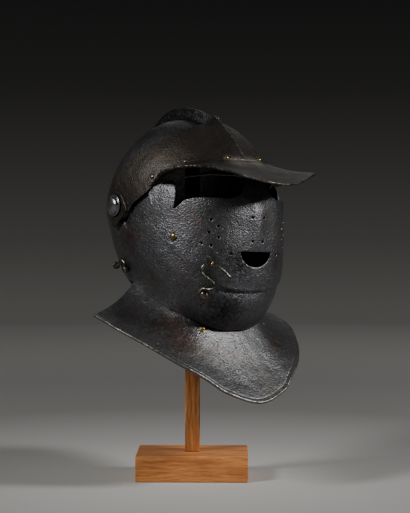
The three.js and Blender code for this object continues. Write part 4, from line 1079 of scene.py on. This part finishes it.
def ringShape(middle, axis, radius, wire, facing, turns=40, sides=12):
    # torus: middle + (radius + wire * cos) * ring + wire * sin * axis
    axis = axis / np.linalg.norm(axis)
    side = np.cross(axis, facing)
    side /= np.linalg.norm(side)
    other = np.cross(axis, side)
    a = np.linspace(0, 2 * np.pi, turns, endpoint=False)[:, None, None]
    b = np.linspace(0, 2 * np.pi, sides, endpoint=False)[None, :, None]
    ring = np.cos(a) * side + np.sin(a) * other
    points = middle + (radius + wire * np.cos(b)) * ring + wire * np.sin(b) * axis
    return outward(points.reshape(-1, 3), [gridFaces(turns, sides, closedRows=True, closedColumns=True)])


def liftedPoint(place):
    foot, normal = onPlate("bevor", place[0], place[1])
    return foot + place[2] * normal


for hookName, hook in hooks.items():
    h = hookSizes
    studFoot, studNormal = onPlate("bevor", *hook["stud"])
    middle = studFoot + h["lift"] * studNormal
    path = np.array([liftedPoint(row) for row in hook["path"]])
    line = smoothPath(np.concatenate([[middle + 0.4 * (path[0] - middle)], path]), 8)
    radii = np.full(len(line), float(h["wire"]))
    radii[-14:] *= np.linspace(1, 0.72, 14)  # the free end is filed thinner
    wire = wireShape(line, radii, studNormal)
    eyeRing = [(h["studNeck"] + 0.3, -1), (h["eye"] - 0.3, -1), (h["eye"], -0.7), (h["eye"], 0.7),
               (h["eye"] - 0.3, 1), (h["studNeck"] + 0.3, 1)]
    ring = np.array(eyeRing)
    a = np.linspace(0, 2 * np.pi, 36, endpoint=False)[:, None, None]
    side = np.cross(studNormal, [0.0, 0.0, 1.0])
    side /= np.linalg.norm(side)
    other = np.cross(studNormal, side)
    eyePoints = (middle + ring[None, :, 0, None] * (np.cos(a) * side + np.sin(a) * other)
                 + ring[None, :, 1, None] * studNormal)
    eye = outward(eyePoints.reshape(-1, 3), [gridFaces(36, len(ring), closedRows=True, closedColumns=True)])
    piece = makePiece("bent_" + hookName, [wornSolid(wire, 0.5), wornSolid(eye, 0.5)])
    place(piece, hook["hookBody"], "worn_steel", filedIron, hookName)
    head = h["lift"] + h["eyeWall"] / 2 + helmet["seat"]
    profile = [(0, -h["studSink"]), (h["studNeck"], -h["studSink"]), (h["studNeck"], head),
               (h["studHead"] - 0.15, head), (h["studHead"], head + 0.25),
               *domeProfile(h["studHead"] - 0.05, h["studRise"] - 0.4, head + 0.4)]
    stud = makePiece("turned_" + hookName + "_stud", [wornSolid(turned(profile, studFoot, studNormal, 32), 0.4)])
    place(stud, "lower_face", "worn_steel", filedIron, hookName + "_stud")
    here = path[hook["stapleStep"]]
    across = path[hook["stapleStep"] + 1] - path[hook["stapleStep"] - 1]
    stapleFoot, stapleNormal = onPlate(hook["staplePlate"], *hook["staple"])
    rise = float((here - stapleFoot) @ stapleNormal)
    loop = ringShape(here, across, h["stapleRing"], h["stapleWire"], stapleNormal)
    stem = max(0.4, rise - h["stapleRing"] + 0.2)
    stalk = turned([(0, -2.1), (1.2, -2.1), (1.2, -0.1), (2.7, -0.1), (2.8, 0.3), (1.6, 0.7), (1.1, stem), (0, stem)],
                   stapleFoot, stapleNormal, 24)
    staple = makePiece("pierced_" + hook["stapleNode"], [wornSolid(loop, 0.5), wornSolid(stalk, 0.4)])
    place(staple, hook["stapleBody"], "brass", hook["stapleMetal"], hook["stapleNode"])
print("rivets, pivots and hooks made")

# Stand: a sawn block and a square post with eased edges
stand = {
    "turnDegrees": -39, "width": 129, "depth": 85, "height": 30, "post": 17, "postTop": 408.2, "seat": 0.3,
    "easing": 1.3,
}


def easedBlock(width, depth, low, high, ease):
    # rounded rectangle at each level: half size less the inset, corners of radius ease;
    # inset = ease * (1 - sin), level = end -+ ease * (1 - cos) at both ends
    a = np.linspace(0, np.pi / 2, 6)
    ends = [(ease * (1 - math.sin(x)), ease * (1 - math.cos(x))) for x in a]
    levels = [(ease + 1.5, low), *[(i, low + z) for i, z in ends],
              *[(i, high - z) for i, z in ends[::-1]], (ease + 1.5, high)]
    corner = np.linspace(0, np.pi / 2, 6)
    outline = []
    for quarter, (sx, sy) in enumerate([(1, 1), (-1, 1), (-1, -1), (1, -1)]):
        turn = corner + quarter * np.pi / 2
        outline.append(np.stack([sx * (width / 2 - ease) + ease * np.cos(turn),
                                 sy * (depth / 2 - ease) + ease * np.sin(turn)], -1))
    outline = np.concatenate(outline)
    inset = np.array([i for i, _ in levels])[:, None]
    shrunk = outline[None] - np.sign(outline)[None] * inset[..., None]
    z = np.array([l for _, l in levels])[:, None]
    loops = np.concatenate([shrunk, np.broadcast_to(z, shrunk.shape[:2])[..., None]], -1)
    points, kinds = carried(loops)
    t = math.radians(stand["turnDegrees"])
    x, y = points[:, 0].copy(), points[:, 1].copy()
    points[:, 0], points[:, 1] = x * math.cos(t) - y * math.sin(t), x * math.sin(t) + y * math.cos(t)
    return points / 1000, kinds, None


base = makePiece("wood_base", [easedBlock(stand["width"], stand["depth"], 0, stand["height"], stand["easing"])])
place(base, "skull_and_stand", "wood", baseWood, "stand_base")
post = makePiece("wood_post", [easedBlock(
    stand["post"], stand["post"], stand["height"] + stand["seat"], stand["postTop"] - 0.2, 0.9)])
place(post, "skull_and_stand", "wood", postWood, "stand_post")
print("stand made")

# Studio: a pale floor that rises to a paper sweep all round, with painted shade across floor and sweep
studio = {
    "floorRadius": 2.4, "sweepRadius": 0.9, "wallTop": 3.6,
    "paintedFalloff": [  # distance out along the floor and up the sweep, in metres, and the painted shade there: pale in the middle, a darker ring round the stand for the shadows there, lighter again where the lamps' light fades, darker up the sweep
        (0.0, "#b4b2ad"), (0.28, "#918f8c"), (0.6, "#716f6c"), (1.0, "#757471"), (1.5, "#8a8884"), (2.3, "#989793"),
        (2.75, "#82817d"), (3.2, "#62615d"), (3.66, "#464542"), (4.0, "#282725"), (4.3, "#121211"), (5.0, "#0c0c0c"),
    ],
    "lights": [  # place, size, power, aim
        ((-1.95, 0.15, 1.5), 0.5, 41, (0.0, -0.02, 0.27)),
        ((1.0, -1.75, 1.3), 0.36, 52, (0.0, -0.02, 0.27)),
        ((1.35, 1.45, 1.5), 1.0, 2.2, (0.0, -0.02, 0.27)),
    ],
    "ambient": 0.034,
}


def sweepStage():
    # profile from the middle outwards: flat floor, quarter circle, wall; turned about the vertical
    s = studio
    bend = np.linspace(0, np.pi / 2, 14)
    r = np.concatenate([
        np.linspace(0.02, s["floorRadius"], 30), s["floorRadius"] + s["sweepRadius"] * np.sin(bend),
        [s["floorRadius"] + s["sweepRadius"]]])
    z = np.concatenate([np.zeros(30), s["sweepRadius"] * (1 - np.cos(bend)), [s["wallTop"]]])
    a = np.linspace(0, 2 * np.pi, 96, endpoint=False)
    points = np.stack(
        [r[:, None] * np.cos(a), r[:, None] * np.sin(a), np.broadcast_to(z[:, None], (len(r), 96))], -1)
    points = points.reshape(-1, 3)
    points = np.concatenate([points, [[0, 0, 0]]])
    ring = np.arange(96)
    cap = np.stack([np.full(96, len(points) - 1), ring, (ring + 1) % 96], -1)
    return points, [gridFaces(len(r), 96, closedColumns=True)[:, ::-1], cap], None


def stagePaper():
    # Matt studio paper with painted shade, darker round the stand and up the sweep; shade read by distance out +
    # height
    material = bpy.data.materials.new("studio_paper_painted_falloff")
    material.use_nodes = True
    tree = material.node_tree
    tree.nodes.clear()
    here = addNode(tree, "ShaderNodeTexCoord").outputs["Object"]
    level = addNode(tree, "ShaderNodeMapping", {"Scale": (1, 1, 0)}, {"Vector": here})
    out = addNode(tree, "ShaderNodeVectorMath", {"operation": "LENGTH"}, {0: level.outputs[0]})
    height = addNode(tree, "ShaderNodeSeparateXYZ", {}, {0: here})
    along = addNode(tree, "ShaderNodeMath", {"operation": "ADD"}, {0: out.outputs["Value"], 1: height.outputs["Z"]})
    share = addNode(tree, "ShaderNodeMath", {"operation": "MULTIPLY", 1: 0.2}, {0: along.outputs[0]})
    ramp = addNode(tree, "ShaderNodeValToRGB", {}, {0: share.outputs[0]})
    while len(ramp.color_ramp.elements) < len(studio["paintedFalloff"]):
        ramp.color_ramp.elements.new(0.5)
    for element, (distance, shade) in zip(ramp.color_ramp.elements, studio["paintedFalloff"]):
        element.position, element.color = distance * 0.2, linearColour(shade)
    shader = addNode(tree, "ShaderNodeBsdfPrincipled", {"Roughness": 0.85}, {"Base Color": ramp.outputs[0]})
    addNode(tree, "ShaderNodeOutputMaterial", {}, {"Surface": shader.outputs[0]})
    return material


floor = makePiece("studio_sweep", [sweepStage()])
floor.data.materials.append(stagePaper())
for number, (spot, size, power, aim) in enumerate(studio["lights"]):
    light = bpy.data.lights.new("soft_box_%d" % number, "AREA")
    light.shape, light.size, light.energy = "SQUARE", size, power
    lamp = bpy.data.objects.new(light.name, light)
    lamp.location = spot
    lamp.rotation_euler = (Vector(aim) - Vector(spot)).to_track_quat("-Z", "Y").to_euler()
    bpy.context.scene.collection.objects.link(lamp)
world = bpy.data.worlds.new("studio_air")
world.use_nodes = True
world.node_tree.nodes["Background"].inputs["Color"].default_value = (1, 1, 1, 1)
world.node_tree.nodes["Background"].inputs["Strength"].default_value = studio["ambient"]
bpy.context.scene.world = world

viewpoint = {"from": (-1.0532, -1.3726, 0.311), "towards": (0.0239, 0.0070, 0.2563), "lens": 104.35}
camera = bpy.data.objects.new("camera", bpy.data.cameras.new("camera"))
camera.data.sensor_fit, camera.data.sensor_height, camera.data.lens = "VERTICAL", 36, viewpoint["lens"]
camera.location = viewpoint["from"]
sight = Vector(viewpoint["towards"]) - Vector(viewpoint["from"])
camera.rotation_euler = sight.to_track_quat("-Z", "Y").to_euler()
bpy.context.scene.collection.objects.link(camera)
bpy.context.scene.camera = camera


print("scene ready")
